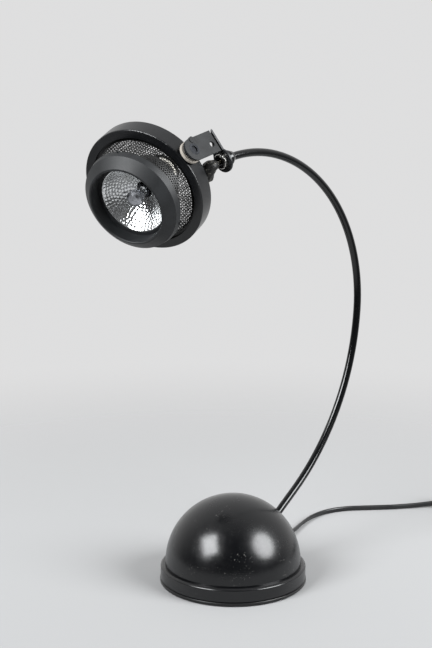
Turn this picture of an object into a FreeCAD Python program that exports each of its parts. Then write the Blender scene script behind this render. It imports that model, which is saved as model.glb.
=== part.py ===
import FreeCAD, Part
import math
import os
import re

import Sketcher

V = FreeCAD.Vector

# ---------------------------------------------------------------------------
# Tabletop searchlight lamp.  Millimetres, +Z up, origin at the centre of the
# base on the surface it stands on.  The bent stem lies in the XZ plane and
# leaves the domed base on the +X side; the head hangs from the stem's free
# end over the -X side and is modelled at the aim that it stands at.
# ---------------------------------------------------------------------------
doc = FreeCAD.newDocument("SearchlightLamp")
sheet = doc.addObject("Spreadsheet::Sheet", "Dims")

CELLS = [
    # base
    ("pad_radius", 66.0), ("pad_top", 1.2),
    ("plate_radius", 75.0), ("plate_low", 0.6), ("plate_top", 4.0),
    ("ring_radius", 74.4), ("ring_low", 4.9), ("ring_top", 18.3), ("ring_shoulder", 72.2), ("ring_wall", 2.6),
    ("dome_radius", 69.5), ("dome_wall", 1.5), ("dome_centre", 19.6), ("dome_foot", 9.0),
    # stem
    ("stem_radius", 4.0), ("stem_bore", 3.0),
    ("root_elevation", 27.85), ("root_tilt", 37.5), ("stem_inside", 17.0), ("stem_straight", 36.6),
    ("bend_one_radius", 254.0), ("bend_one_turn", 48.57),
    ("bend_two_radius", 166.2), ("bend_two_turn", 81.67),
    ("bend_three_radius", 150.1), ("bend_three_turn", 29.08),
    # bracket
    ("leg_thick", 2.0), ("leg_half", 11.3), ("leg_reach", 33.57), ("web_thick", 2.0),
    ("web_in", 8.61), ("web_down", 19.41), ("web_radius", 12.0),
    ("bush_radius", 6.0), ("pivot_radial", 76.2), ("pivot_back", 9.1),
    # head
    ("band_radius", 65.0), ("band_wall", 1.3), ("band_back", 18.1), ("flange_inner", 56.4),
    ("mesh_low_radius", 53.9), ("mesh_top_radius", 49.1), ("mesh_wall", 0.7),
    ("bezel_back", 18.6), ("bezel_outer", 51.4), ("bezel_edge", 50.2), ("bezel_edge_fwd", 25.2),
    ("bezel_front", 34.3), ("bezel_open", 39.2),
    ("lamp_rim", 35.2), ("lamp_fwd", 20.0), ("lamp_deep", 23.0),
    ("dome_back_sag", 26.0),
]
for n, (key, value) in enumerate(CELLS, start=1):
    sheet.set("A%d" % n, key)
    sheet.set("B%d" % n, repr(value))
    sheet.setAlias("B%d" % n, key)
doc.recompute()
D = dict(CELLS)


def d(key):
    return float(getattr(sheet, key))


def ex(text):
    """A size written with cell names, as the document's own expression."""
    return re.sub(r"[a-z][a-z_]*[a-z]", lambda m: "Dims." + m.group(0) if m.group(0) in D else m.group(0), str(text))


def val(text):
    return float(eval_size(str(text)))


def eval_size(text):
    """Value of a size expression made of + - * / and cell names."""
    tokens = re.findall(r"[a-z][a-z_]*[a-z]|\d+\.?\d*|[-+*/()]", text)
    pos = [0]

    def peek():
        return tokens[pos[0]] if pos[0] < len(tokens) else None

    def take():
        pos[0] += 1
        return tokens[pos[0] - 1]

    def factor():
        tk = take()
        if tk == "(":
            v = expr()
            take()
            return v
        if tk == "-":
            return -factor()
        if tk in D:
            return d(tk)
        return float(tk)

    def term():
        v = factor()
        while peek() in ("*", "/"):
            v = v * factor() if take() == "*" else v / factor()
        return v

    def expr():
        v = term()
        while peek() in ("+", "-"):
            v = v + term() if take() == "+" else v - term()
        return v

    return expr()


# ---------------------------------------------------------------------------
# frames
# ---------------------------------------------------------------------------
def frame(origin, zdir, xdir):
    z = V(zdir).normalize()
    x = V(xdir)
    x = (x - z * (x * z)).normalize()
    y = z.cross(x)
    m = FreeCAD.Matrix(x.x, y.x, z.x, origin.x, x.y, y.y, z.y, origin.y, x.z, y.z, z.z, origin.z, 0, 0, 0, 1)
    return FreeCAD.Placement(m)


def stem_points():
    """Centreline of the stem in its XZ plane: start, and (end, tangent) of each stretch."""
    el, th = math.radians(d("root_elevation")), math.radians(d("root_tilt"))
    root = V(d("dome_radius") * math.cos(el), 0, d("dome_centre") + d("dome_radius") * math.sin(el))
    t = V(math.cos(th), 0, math.sin(th))
    start = root - t * d("stem_inside")
    p = root + t * d("stem_straight")
    out = [("start", start, t), ("line", p, t)]
    for name in ("one", "two", "three"):
        r, turn = d("bend_%s_radius" % name), math.radians(d("bend_%s_turn" % name))
        left = V(-t.z, 0, t.x)
        centre = p + left * r

        def at(a, left=left, centre=centre, r=r):
            rot = FreeCAD.Rotation(V(0, -1, 0), math.degrees(a))
            return centre + rot.multVec(left * -r), rot

        mid, _ = at(turn / 2)
        end, rot = at(turn)
        t = rot.multVec(t)
        out.append(("arc", end, t, mid, centre))
        p = end
    return out


STEM = stem_points()
END = STEM[-1][1]
ENDDIR = STEM[-1][2]

AIM = V(-0.8773, -0.2607, -0.4030).normalize()          # the way the head looks
PIVOT = V(0.0214, -0.8600, 0.5098)
PIVOT = (PIVOT - AIM * (PIVOT * AIM)).normalize()        # tilt axis, a radius of the head's ring
LEG = (ENDDIR * -1 + PIVOT * (ENDDIR * PIVOT)).normalize()   # along the bracket's leg, away from the head
LEGSIDE = PIVOT.cross(LEG)
WEBIN = ENDDIR.cross(LEGSIDE)
if WEBIN * PIVOT > 0:
    WEBIN = WEBIN * -1
BEND = END - WEBIN * d("web_in") + LEGSIDE * d("web_down")
PIVOTPOINT = BEND - LEG * d("leg_reach")
HEADCENTRE = PIVOTPOINT - PIVOT * d("pivot_radial") + AIM * d("pivot_back")

WORLD = FreeCAD.Placement()
HEAD = frame(HEADCENTRE, AIM, PIVOT)       # local Z = aim, X = towards the pivot
PLATE = frame(PIVOTPOINT, PIVOT, LEG)      # local Z = outwards along the tilt axis, X = along the leg
SWIVEL = frame(END, ENDDIR, LEGSIDE)       # local Z = along the stem's end, outwards
TOHEAD = HEAD.inverse()

NODES = []


def node(obj, label, place=None):
    obj.Label = label
    if place is not None:
        obj.Placement = place
    NODES.append(obj)
    return obj


def plane_of(body, role):
    for f in body.Origin.OriginFeatures:
        if f.Role == role:
            return f
    raise RuntimeError(role)


def profile_sketch(body, name, points, role="XZ_Plane"):
    """A closed polygon whose corners are held by sizes from the sheet."""
    sk = body.newObject("Sketcher::SketchObject", name)
    sk.AttachmentSupport = [(plane_of(body, role), "")]
    sk.MapMode = "FlatFace"
    pts = [(val(a), val(b)) for a, b in points]
    n = len(pts)
    geo = [Part.LineSegment(V(*pts[i], 0), V(*pts[(i + 1) % n], 0)) for i in range(n)]
    sk.addGeometry(geo, False)
    for i in range(n):
        sk.addConstraint(Sketcher.Constraint("Coincident", i, 2, (i + 1) % n, 1))
    for i, (a, b) in enumerate(points):
        for kind, expr, value in (("DistanceX", a, pts[i][0]), ("DistanceY", b, pts[i][1])):
            if abs(value) < 1e-9:
                sk.addConstraint(Sketcher.Constraint("PointOnObject", i, 1, -2 if kind == "DistanceX" else -1))
            else:
                k = sk.addConstraint(Sketcher.Constraint(kind, -1, 1, i, 1, value))
                if any(c.isalpha() for c in str(expr)):
                    sk.setExpression("Constraints[%d]" % k, ex(expr))
    return sk


def turned(label, points, place=None, cuts=None, add=True):
    """A turned piece: profile of (radius, height) corners revolved about Z."""
    body = doc.addObject("PartDesign::Body", "Body_" + label)
    sk = profile_sketch(body, "Profile_" + label, points)
    rev = body.newObject("PartDesign::Revolution", "Revolve_" + label)
    rev.Profile = sk
    rev.ReferenceAxis = (sk, ["V_Axis"])
    rev.Angle = 360
    doc.recompute()
    if add:
        node(body, label, place)
    return body, rev


def round_edges(body, rev, want, radius):
    """Fillet the circular edges at the (radius, height) places asked for."""
    names = []
    for i, e in enumerate(rev.Shape.Edges, start=1):
        c = e.Curve
        if c.TypeId == "Part::GeomCircle":
            for r, h in want:
                if abs(c.Radius - val(r)) < 0.02 and abs(c.Center.z - val(h)) < 0.02 and abs(c.Center.x) < 0.01:
                    names.append("Edge%d" % i)
    if len(names) < len(want):
        raise RuntimeError("edges not found on %s: %s" % (body.Label, names))
    f = body.newObject("PartDesign::Fillet", "Round_" + body.Label)
    f.Base = (rev, sorted(set(names)))
    f.Radius = radius
    doc.recompute()
    body.Tip = f
    return f


def cyl(name, r, h, place=None):
    o = doc.addObject("Part::Cylinder", name)
    o.setExpression("Radius", ex(r)) if any(c.isalpha() for c in str(r)) else setattr(o, "Radius", val(r))
    o.setExpression("Height", ex(h)) if any(c.isalpha() for c in str(h)) else setattr(o, "Height", val(h))
    if place is not None:
        o.Placement = place
    return o


def cone(name, r1, r2, h, place=None):
    o = doc.addObject("Part::Cone", name)
    for prop, v in (("Radius1", r1), ("Radius2", r2), ("Height", h)):
        if any(c.isalpha() for c in str(v)):
            o.setExpression(prop, ex(v))
        else:
            setattr(o, prop, val(v))
    if place is not None:
        o.Placement = place
    return o


def box(name, l, w, h, place=None):
    o = doc.addObject("Part::Box", name)
    for prop, v in (("Length", l), ("Width", w), ("Height", h)):
        if any(c.isalpha() for c in str(v)):
            o.setExpression(prop, ex(v))
        else:
            setattr(o, prop, val(v))
    if place is not None:
        o.Placement = place
    return o


def prism(name, sides, across_flats, h, place=None):
    o = doc.addObject("Part::Prism", name)
    o.Polygon = sides
    o.Circumradius = across_flats / 2.0 / math.cos(math.pi / sides)
    o.Height = h
    if place is not None:
        o.Placement = place
    return o


def cut(name, base, tool):
    o = doc.addObject("Part::Cut", name)
    o.Base, o.Tool = base, tool
    return o


def fuse(name, *objs):
    o = doc.addObject("Part::MultiFuse", name)
    o.Shapes = list(objs)
    return o


def group(label, objs):
    """Several separate identical solids in one node."""
    o = doc.addObject("Part::Compound", label + "_set")
    o.Links = list(objs)
    return node(o, label)


def rounded(name, obj, radius, pick):
    """Fillet the edges that pick() accepts."""
    doc.recompute()
    f = doc.addObject("Part::Fillet", name)
    f.Base = obj
    f.Edges = [(i, radius, radius) for i, e in enumerate(obj.Shape.Edges, start=1) if pick(e)]
    if not f.Edges:
        raise RuntimeError("no edges to round on " + name)
    return f


def at(x, y, z, base=None):
    p = FreeCAD.Placement(V(x, y, z), FreeCAD.Rotation())
    return base.multiply(p) if base is not None else p


def wire_sketch(name, pts_list):
    """An open path sketch in the XZ plane made of a line and tangent arcs."""
    sk = doc.addObject("Sketcher::SketchObject", name)
    sk.Placement = FreeCAD.Placement(V(0, 0, 0), FreeCAD.Rotation(V(1, 0, 0), 90))
    prev = V(pts_list[0][1].x, pts_list[0][1].z, 0)
    for item in pts_list[1:]:
        end = V(item[1].x, item[1].z, 0)
        if item[0] == "line":
            sk.addGeometry(Part.LineSegment(prev, end), False)
        else:
            mid = V(item[3].x, item[3].z, 0)
            sk.addGeometry(Part.Arc(prev, mid, end), False)
        prev = end
    for i in range(len(pts_list) - 2):
        sk.addConstraint(Sketcher.Constraint("Coincident", i, 2 if i == 0 else 2, i + 1, 1))
    return sk


# ---------------------------------------------------------------------------
# base
# ---------------------------------------------------------------------------
POSTS = [(59.0 * math.cos(math.radians(q)), 59.0 * math.sin(math.radians(q))) for q in (100, 220, 340)]
b, r = turned("felt_pad", [("0", "0"), ("pad_radius", "0"), ("pad_radius", "pad_top"), ("0", "pad_top")], add=False)
pad_holes = [cyl("pad_hole_%d" % i, "4.2", "3", at(x, y, -0.5)) for i, (x, y) in enumerate(POSTS)]
pad_holes.append(cyl("pad_bolt_hole", "7.5", "3", at(0, 0, 0.15)))
node(cut("felt_pad_cut", b, fuse("pad_holes", *pad_holes)), "felt_pad")

b, r = turned("base_plate", [
    ("0", "pad_top"), ("pad_radius + 0.6", "pad_top"), ("pad_radius + 0.6", "plate_low"), ("plate_radius", "plate_low"),
    ("plate_radius", "plate_top"), ("plate_radius - 3.2", "plate_top"), ("plate_radius - 3.2", "ring_low"),
    ("plate_radius - 9", "ring_low"), ("plate_radius - 9", "plate_top"), ("0", "plate_top")], add=False)
plate_f = round_edges(b, r, [("plate_radius", "plate_top"), ("plate_radius", "plate_low")], 0.8)
screw_holes = [cyl("plate_hole_%d" % i, "2.1", "6", at(x, y, 0.5)) for i, (x, y) in enumerate(POSTS)]
bolt_hole = cyl("plate_bolt_hole", "3.2", "6", at(0, 0, 0.5))
o = cut("base_plate_drilled", b, fuse("plate_holes", bolt_hole, *screw_holes))
node(o, "base_plate")

b, r = turned("base_ring", [
    ("dome_radius + 0.15", "ring_low"), ("ring_radius", "ring_low"), ("ring_radius", "ring_top - 1.6"),
    ("ring_shoulder", "ring_top"), ("dome_radius + 0.15", "ring_top")], add=False)
rf = round_edges(b, r, [("ring_radius", "ring_top - 1.6"), ("ring_shoulder", "ring_top")], 1.1)
CORD_AZ = 19.0            # the cord leaves on the stem's side of the ring
cord_dir = V(math.cos(math.radians(CORD_AZ)), math.sin(math.radians(CORD_AZ)), 0)
CORD_Z = 11.0
along_cord = FreeCAD.Rotation(V(0, 0, 1), cord_dir)
gh = cyl("ring_cord_hole", "4.6", "30", FreeCAD.Placement(cord_dir * 58 + V(0, 0, CORD_Z), along_cord))
node(cut("base_ring_drilled", b, gh), "base_ring")

# the dome: a half sphere on a short skirt that stands inside the ring
N = 26
outer, inner = [], []
b = doc.addObject("PartDesign::Body", "Body_dome_shell")
sk = b.newObject("Sketcher::SketchObject", "Profile_dome_shell")
sk.AttachmentSupport = [(plane_of(b, "XZ_Plane"), "")]
sk.MapMode = "FlatFace"
Ro, Ri, zc, zf = d("dome_radius"), d("dome_radius") - d("dome_wall"), d("dome_centre"), d("dome_foot")
sk.addGeometry([
    Part.ArcOfCircle(Part.Circle(V(0, zc, 0), V(0, 0, 1), Ro), 0, math.pi / 2),
    Part.LineSegment(V(0, zc + Ro, 0), V(0, zc + Ri, 0)),
    Part.ArcOfCircle(Part.Circle(V(0, zc, 0), V(0, 0, 1), Ri), 0, math.pi / 2),
    Part.LineSegment(V(Ri, zc, 0), V(Ri, zf, 0)),
    Part.LineSegment(V(Ri, zf, 0), V(Ro, zf, 0)),
    Part.LineSegment(V(Ro, zf, 0), V(Ro, zc, 0)),
], False)
for a1, p1, a2, p2 in ((0, 2, 1, 1), (1, 2, 2, 2), (2, 1, 3, 1), (3, 2, 4, 1), (4, 2, 5, 1), (5, 2, 0, 1)):
    sk.addConstraint(Sketcher.Constraint("Coincident", a1, p1, a2, p2))
sk.addConstraint(Sketcher.Constraint("PointOnObject", 0, 3, -2))
sk.addConstraint(Sketcher.Constraint("Coincident", 2, 3, 0, 3))
sk.addConstraint(Sketcher.Constraint("PointOnObject", 0, 2, -2))
sk.addConstraint(Sketcher.Constraint("Vertical", 1))
sk.addConstraint(Sketcher.Constraint("Vertical", 3))
sk.addConstraint(Sketcher.Constraint("Horizontal", 4))
sk.addConstraint(Sketcher.Constraint("Vertical", 5))
for geo, expr_, value in ((0, "dome_radius", Ro), (2, "dome_radius - dome_wall", Ri)):
    k = sk.addConstraint(Sketcher.Constraint("Radius", geo, value))
    sk.setExpression("Constraints[%d]" % k, ex(expr_))
k = sk.addConstraint(Sketcher.Constraint("DistanceY", -1, 1, 0, 3, zc))
sk.setExpression("Constraints[%d]" % k, ex("dome_centre"))
k = sk.addConstraint(Sketcher.Constraint("DistanceY", -1, 1, 4, 1, zf))
sk.setExpression("Constraints[%d]" % k, ex("dome_foot"))
k = sk.addConstraint(Sketcher.Constraint("DistanceY", -1, 1, 0, 1, zc))
sk.setExpression("Constraints[%d]" % k, ex("dome_centre"))
rev = b.newObject("PartDesign::Revolution", "Revolve_dome_shell")
rev.Profile = sk
rev.ReferenceAxis = (sk, ["V_Axis"])
rev.Angle = 360
doc.recompute()
root_dir = STEM[1][2]
root_start = STEM[0][1]
root_frame = frame(root_start, root_dir, V(0, 1, 0))
stem_hole = cyl("dome_stem_hole", "stem_radius + 0.1", "40", root_frame)
cord_slot = cyl("dome_cord_hole", "4.6", "30", FreeCAD.Placement(cord_dir * 55 + V(0, 0, CORD_Z), along_cord))
node(cut("dome_drilled", b, fuse("dome_holes", stem_hole, cord_slot)), "dome_shell")

# three posts on the dome's inside that the base screws go up into
posts, screws = [], []
for i, (x, y) in enumerate(POSTS):
    turn = FreeCAD.Rotation(V(0, 0, 1), math.degrees(math.atan2(y, x)))
    p = cyl("post_%d" % i, "4.2", "20", at(x, y, d("ring_low") + 0.1))
    tab = box("post_tab_%d" % i, "7", "7", "3", FreeCAD.Placement(V(x, y, d("ring_low") + 14), turn).multiply(at(1.6, -3.5, 0)))
    hole = cyl("post_hole_%d" % i, "1.6", "14", at(x, y, d("ring_low")))
    posts.append(cut("post_bored_%d" % i, fuse("post_body_%d" % i, p, tab), hole))
    hd = cyl("screw_head_%d" % i, "3.4", "0.9", at(x, y, 0.25))
    sh = cyl("screw_shank_%d" % i, "1.5", "15", at(x, y, 1.1))
    drv = box("screw_slot_%d" % i, "5", "0.8", "0.5", at(x - 2.5, y - 0.4, 0.1))
    screws.append(cut("screw_cut_%d" % i, fuse("screw_%d" % i, hd, sh), drv))
group("dome_posts", posts)
group("base_screws", screws)

# the iron-cored transformer that weighs the base down, held by one bolt
turned("transformer_pad", [("6", "plate_top"), ("30", "plate_top"), ("30", "plate_top + 1.5"), ("6", "plate_top + 1.5")])
b, r = turned("transformer", [("9", "plate_top + 1.5"), ("35", "plate_top + 1.5"), ("35", "plate_top + 35.5"), ("9", "plate_top + 35.5")], add=False)
round_edges(b, r, [("35", "plate_top + 1.5"), ("35", "plate_top + 35.5"), ("9", "plate_top + 1.5"), ("9", "plate_top + 35.5")], 5.0)
node(b, "transformer")
turned("transformer_plate", [("3.2", "plate_top + 35.6"), ("27", "plate_top + 35.6"), ("27", "plate_top + 37.1"), ("3.2", "plate_top + 37.1")])
bh = prism("tb_head", 6, 10.0, 0.9, at(0, 0, 0.2))
bs = cyl("tb_shank", "3.0", "plate_top + 39.6", at(0, 0, 1.0))
node(fuse("transformer_bolt_body", bh, bs), "transformer_bolt")
nutp = prism("tb_nut", 6, 10.0, 5.0, at(0, 0, d("plate_top") + 37.2))
nuth = cyl("tb_nut_hole", "3.05", "8", at(0, 0, d("plate_top") + 36))
node(cut("transformer_nut_body", nutp, nuth), "transformer_nut")

# terminal block and cord clamp beside the transformer, by the cord's way in
side = FreeCAD.Placement(V(0, 0, 0), FreeCAD.Rotation(V(0, 0, 1), CORD_AZ))
tb = box("block_body", "9", "22.6", "11", side.multiply(at(41.0, -31.6, d("plate_top") + 0.05)))
tholes = [cyl("block_hole_%d" % i, "1.9", "7", side.multiply(at(45.5, -27.5 + 7.2 * i, d("plate_top") + 5.5))) for i in range(3)]
node(cut("block_drilled", tb, fuse("block_holes", *tholes)), "terminal_block")
group("terminal_screws", [cyl("tscrew_%d" % i, "1.7", "3.6", side.multiply(at(45.5, -27.5 + 7.2 * i, d("plate_top") + 5.6))) for i in range(3)])
cb = box("clamp_body", "9", "16", "3.6", side.multiply(at(48, -8, CORD_Z + 3.0)))
cp = [box("clamp_foot_%d" % i, "9", "3.4", str(CORD_Z + 3.0 - d("plate_top") - 0.05), side.multiply(at(48, y, d("plate_top") + 0.05))) for i, y in enumerate((-8.0, 4.6))]
node(fuse("cord_clamp_body", cb, *cp), "cord_clamp")

# the mains lead inside the base, between the grommet and the clamp
node(cyl("inner_lead_body", "2.9", "24.4", FreeCAD.Placement(cord_dir * 46.0 + V(0, 0, CORD_Z), along_cord)), "inner_lead")

# strain relief: a ribbed tapered sleeve that pushes into the ring's hole
gro = FreeCAD.Placement(V(0, 0, CORD_Z), along_cord)
pts = [("2.95", "70.6"), ("4.5", "70.6"), ("4.5", "74.6"), ("6.2", "74.6"), ("6.2", "77.0"), ("5.4", "77.6")]
z0, nrib = 78.4, 6
for i in range(nrib):
    rr = 5.2 - 0.2 * i
    pts += [(str(round(rr, 3)), str(round(z0 + 3.0 * i, 2))), (str(round(rr - 0.05, 3)), str(round(z0 + 3.0 * i + 1.9, 2))),
            (str(round(rr - 0.7, 3)), str(round(z0 + 3.0 * i + 2.2, 2))), (str(round(rr - 0.7, 3)), str(round(z0 + 3.0 * i + 2.8, 2)))]
RELIEF_TIP = z0 + 3.0 * nrib + 1.6
pts += [("3.9", str(round(z0 + 3.0 * nrib, 2))), ("3.7", str(RELIEF_TIP)), ("2.95", str(RELIEF_TIP))]
turned("strain_relief", pts, gro)

# ---------------------------------------------------------------------------
# stem: bent tube, its nut inside the dome, and the swivel bush on its free end
# ---------------------------------------------------------------------------
path = wire_sketch("StemPath", STEM)
doc.recompute()


def swept(name, r, place_frame, sketch):
    c = doc.addObject("Part::Circle", name + "_circle")
    if any(ch.isalpha() for ch in str(r)):
        c.setExpression("Radius", ex(r))
    else:
        c.Radius = val(r)
    c.Placement = place_frame
    s_ = doc.addObject("Part::Sweep", name)
    s_.Sections = [c]
    s_.Spine = (sketch, ["Edge%d" % (i + 1) for i in range(len(sketch.Shape.Edges))])
    s_.Solid = True
    s_.Frenet = False
    return s_


st_out = swept("stem_skin", "stem_radius", root_frame, path)
st_in = swept("stem_hollow", "stem_bore", root_frame, path)
node(cut("stem_tube_body", st_out, st_in), "stem_tube")
# the low voltage lead inside the tube, held by it all the way
node(swept("stem_lead_body", "2.2", root_frame, path), "stem_lead")

root_out = STEM[0][1] + STEM[1][2] * d("stem_inside")      # where the stem's axis crosses the dome's outside
nutf = frame(root_out - STEM[1][2] * 5.2, STEM[1][2] * -1, V(0, 1, 0))
wsh = cyl("stem_washer_disc", "8.5", "1.2", nutf)
wshh = cyl("stem_washer_hole", "stem_radius + 0.1", "6", nutf.multiply(at(0, 0, -2)))
node(cut("stem_washer_body", wsh, wshh), "stem_washer")
nt = prism("stem_nut_hex", 6, 13.0, 5.0, nutf.multiply(at(0, 0, 1.3)))
nth = cyl("stem_nut_hole", "stem_radius + 0.05", "9", nutf.multiply(at(0, 0, 0)))
node(cut("stem_nut_body", nt, nth), "stem_nut")

# swivel bush: sleeve over the tube's end, collar behind the web, ring nut in front
bush, r = turned("end_bush", [("0", "-14"), ("5.4", "-14"), ("bush_radius + 1.6", "-9.6"), ("bush_radius + 1.6", "-4.2"),
                              ("bush_radius", "-4.2"), ("bush_radius", "3.6"), ("4.6", "3.6"), ("4.6", "0.0"), ("0", "0.0")], add=False)
bush.Placement = SWIVEL
node(cut("end_bush_bored", bush, swept("bush_bore", "stem_radius + 0.04", root_frame, path)), "end_bush")
turned("rear_washer", [("bush_radius + 0.1", "-4.15"), ("9.4", "-4.15"), ("9.4", "-3.1"), ("bush_radius + 0.1", "-3.1")], SWIVEL)
turned("ring_nut", [("bush_radius + 0.05", "-0.85"), ("7.0", "-0.85"), ("7.5", "-0.35"), ("7.5", "2.2"), ("7.0", "2.8"), ("bush_radius + 0.05", "2.8")], SWIVEL)

# ---------------------------------------------------------------------------
# bracket: sheet steel leg with the tilt pivot, bent into a web whose round lug
# turns on the stem's bush
# ---------------------------------------------------------------------------
lt, wt = d("leg_thick"), d("web_thick")
leg = box("leg_plate", "leg_reach - 1.2", "leg_half * 2", "leg_thick", at(0, -d("leg_half"), -lt, PLATE))
leg_end = cyl("leg_end", "leg_half", "leg_thick", at(0, 0, -lt, PLATE))
leg_hole = cyl("leg_hole", "3.0", "leg_thick + 4", at(25.8, -2.4, -lt - 2, PLATE))
leg_bore = cyl("leg_bore", "2.56", "leg_thick + 4", at(0, 0, -lt - 2, PLATE))
leg_sink = cone("leg_sink", "2.56", "6.06", "2.2", at(0, 0, -2.2, PLATE))
# the web lies square to the stem's end, from z = -3 to -1 in the swivel frame,
# where x runs along the leg's width and y along the way in from the leg
INW = SWIVEL.inverse()
corner = INW.multVec(BEND)
ysign = 1.0 if INW.multVec(BEND + WEBIN).y > corner.y else -1.0
hw, wr = d("leg_half"), d("web_radius")
pa = V(corner.x + hw, corner.y, 0)
pb = V(corner.x - hw, corner.y, 0)


def tangent_point(p, rad, sign):
    dist = math.hypot(p.x, p.y)
    a = math.atan2(p.y, p.x) + sign * math.acos(min(1.0, rad / dist))
    return V(rad * math.cos(a), rad * math.sin(a), 0)


ta = max([tangent_point(pa, wr, s) for s in (1, -1)], key=lambda q_: q_.y * ysign)
tb_ = min([tangent_point(pb, wr, s) for s in (1, -1)], key=lambda q_: q_.y * ysign)
away = V(-corner.x, -corner.y, 0).normalize() * wr
w = Part.Wire([Part.LineSegment(pa, ta).toShape(), Part.Arc(ta, away, tb_).toShape(),
               Part.LineSegment(tb_, pb).toShape(), Part.LineSegment(pb, pa).toShape()])
web_b = doc.addObject("Part::Feature", "web_outline")
web_b.Shape = Part.Face(w).extrude(V(0, 0, wt))
web_b.Placement = SWIVEL.multiply(at(0, 0, -3.0))
web_bore = cyl("web_bore", "bush_radius + 0.06", "12", at(0, 0, -8, SWIVEL))
# the bend between leg and web
bend_c = cyl("bend_round", "1.99", "leg_half * 2", frame(BEND - LEG * 1.99 - PIVOT * 1.99 - LEGSIDE * hw, LEGSIDE, LEG))
tab = cyl("stop_tab", "3.2", "leg_thick + 0.6", at(3.5, d("leg_half") - 2.0, -lt, PLATE))
bracket = cut("bracket_cut", fuse("bracket_sheet", leg, leg_end, web_b, bend_c, tab), fuse("bracket_holes", leg_hole, leg_bore, leg_sink, web_bore))
node(bracket, "bracket")

# tilt pivot stack, from the plate inwards to the ring
turned("spring_washer", [("2.7", "-2.15"), ("6.6", "-2.15"), ("8.6", "-3.5"), ("8.6", "-5.4"), ("2.7", "-5.4")], PLATE)
turned("friction_washer", [("2.7", "-5.45"), ("10.6", "-5.45"), ("11.2", "-6.0"), ("11.2", "-8.2"), ("10.8", "-8.5"), ("2.7", "-8.5")], PLATE)
boss = cyl("boss_disc", "9.2", "6", at(0, 0, -14.5, PLATE))
bosshole = cyl("boss_hole", "2.7", "12", at(0, 0, -18, PLATE))
band_tool = cyl("boss_band", "band_radius + 0.05", "60", at(0, 0, -40, HEAD))
node(cut("pivot_boss_body", boss, fuse("boss_cuts", bosshole, band_tool)), "pivot_boss")
sh = cyl("pivot_shank", "2.5", "17.5", at(0, 0, -18.7, PLATE))
hd = cone("pivot_head", "2.5", "6.0", "2.2", at(0, 0, -2.2, PLATE))
skt = prism("pivot_socket", 6, 6.6, 2.4, at(0, 0, -1.15, PLATE))
node(cut("pivot_screw_body", fuse("pivot_body", sh, hd), skt), "pivot_screw")
nutb = prism("pivot_nut_hex", 6, 8.0, 3.6, at(0, 0, -18.0, PLATE))
nuth2 = cyl("pivot_nut_hole", "2.53", "8", at(0, 0, -20, PLATE))
node(cut("pivot_nut_body", nutb, nuth2), "pivot_nut")

# ---------------------------------------------------------------------------
# head
# ---------------------------------------------------------------------------
b, r = turned("head_ring", [
    ("band_radius - band_wall", "-band_back"), ("band_radius", "-band_back"), ("band_radius", "0"), ("flange_inner", "0"),
    ("flange_inner", "-1.2"), ("band_radius - band_wall", "-1.2")], add=False)
round_edges(b, r, [("band_radius", "0")], 1.1)
ringhole = cyl("ring_pivot_hole", "2.6", "30", at(0, 0, -30, TOHEAD.multiply(PLATE)))
node(cut("head_ring_drilled", b, ringhole), "head_ring", HEAD)

BZ = []
for i in range(3):
    a = math.radians(60 + 120 * i)
    dirv = V(math.cos(a), math.sin(a), 0)
    BZ.append((dirv, FreeCAD.Rotation(V(0, 0, 1), dirv)))


def radial_holes(name, r, z):
    """Three holes on the radii that the bezel's screws come in along."""
    return fuse(name, *[cyl("%s_%d" % (name, i), r, "8", FreeCAD.Placement(v * 46.0 + V(0, 0, z), q)) for i, (v, q) in enumerate(BZ)])


b, r = turned("front_mesh", [("mesh_top_radius - mesh_wall", "bezel_back + 1.8"), ("mesh_top_radius", "bezel_back + 1.8"), ("mesh_low_radius", "-3.2"),
                             ("band_radius - band_wall - 0.1", "-3.2"), ("band_radius - band_wall - 0.1", "-3.9"), ("mesh_low_radius - mesh_wall", "-3.9")], add=False)
node(cut("front_mesh_drilled", b, radial_holes("mesh_hole", "0.66", 19.5)), "front_mesh", HEAD)

# shallow perforated dish that closes the back, with a hole for the lampholder
Rr, sag, zb = d("band_radius") - d("band_wall") - 0.1, d("dome_back_sag"), -d("band_back")
Rs = (Rr * Rr + sag * sag) / (2 * sag)
zc2 = zb - sag + Rs
M = 12
skin = []
for i in range(M + 1):
    rr = Rr + (14.0 - Rr) * i / M
    skin.append((rr, zc2 - math.sqrt(Rs * Rs - rr * rr)))
pts = [(Rr, zb + 4.0)] + skin + [(a, c + 0.8) for a, c in reversed(skin[1:])] + [(Rr - 0.7, zb + 0.8), (Rr - 0.7, zb + 4.0)]
turned("rear_mesh", [("%.3f" % a, "%.3f" % c) for a, c in pts], HEAD)

b, r = turned("bezel", [
    ("bezel_outer", "bezel_back"), ("bezel_edge", "bezel_edge_fwd"), ("bezel_open + 1.6", "bezel_front - 0.4"),
    ("bezel_open", "bezel_front"), ("bezel_open - 0.6", "bezel_front - 0.5"), ("bezel_open - 1.4", "lamp_fwd + 1.4"),
    ("lamp_rim - 0.8", "lamp_fwd + 1.4"), ("lamp_rim - 0.8", "lamp_fwd + 0.2"), ("bezel_open + 0.2", "lamp_fwd + 0.2"),
    ("bezel_open + 0.9", "bezel_front - 2.9"), ("bezel_edge - 1.9", "bezel_edge_fwd - 0.9"), ("bezel_outer - 1.5", "bezel_back")], add=False)
node(cut("bezel_drilled", b, radial_holes("bezel_hole", "0.66", 19.5)), "bezel", HEAD)


# lamp: dished reflector, glass burner, burner cap, bayonet base
def dish(r_):
    return d("lamp_fwd") - d("lamp_deep") + d("lamp_deep") * (r_ / 34.0) ** 2


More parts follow.
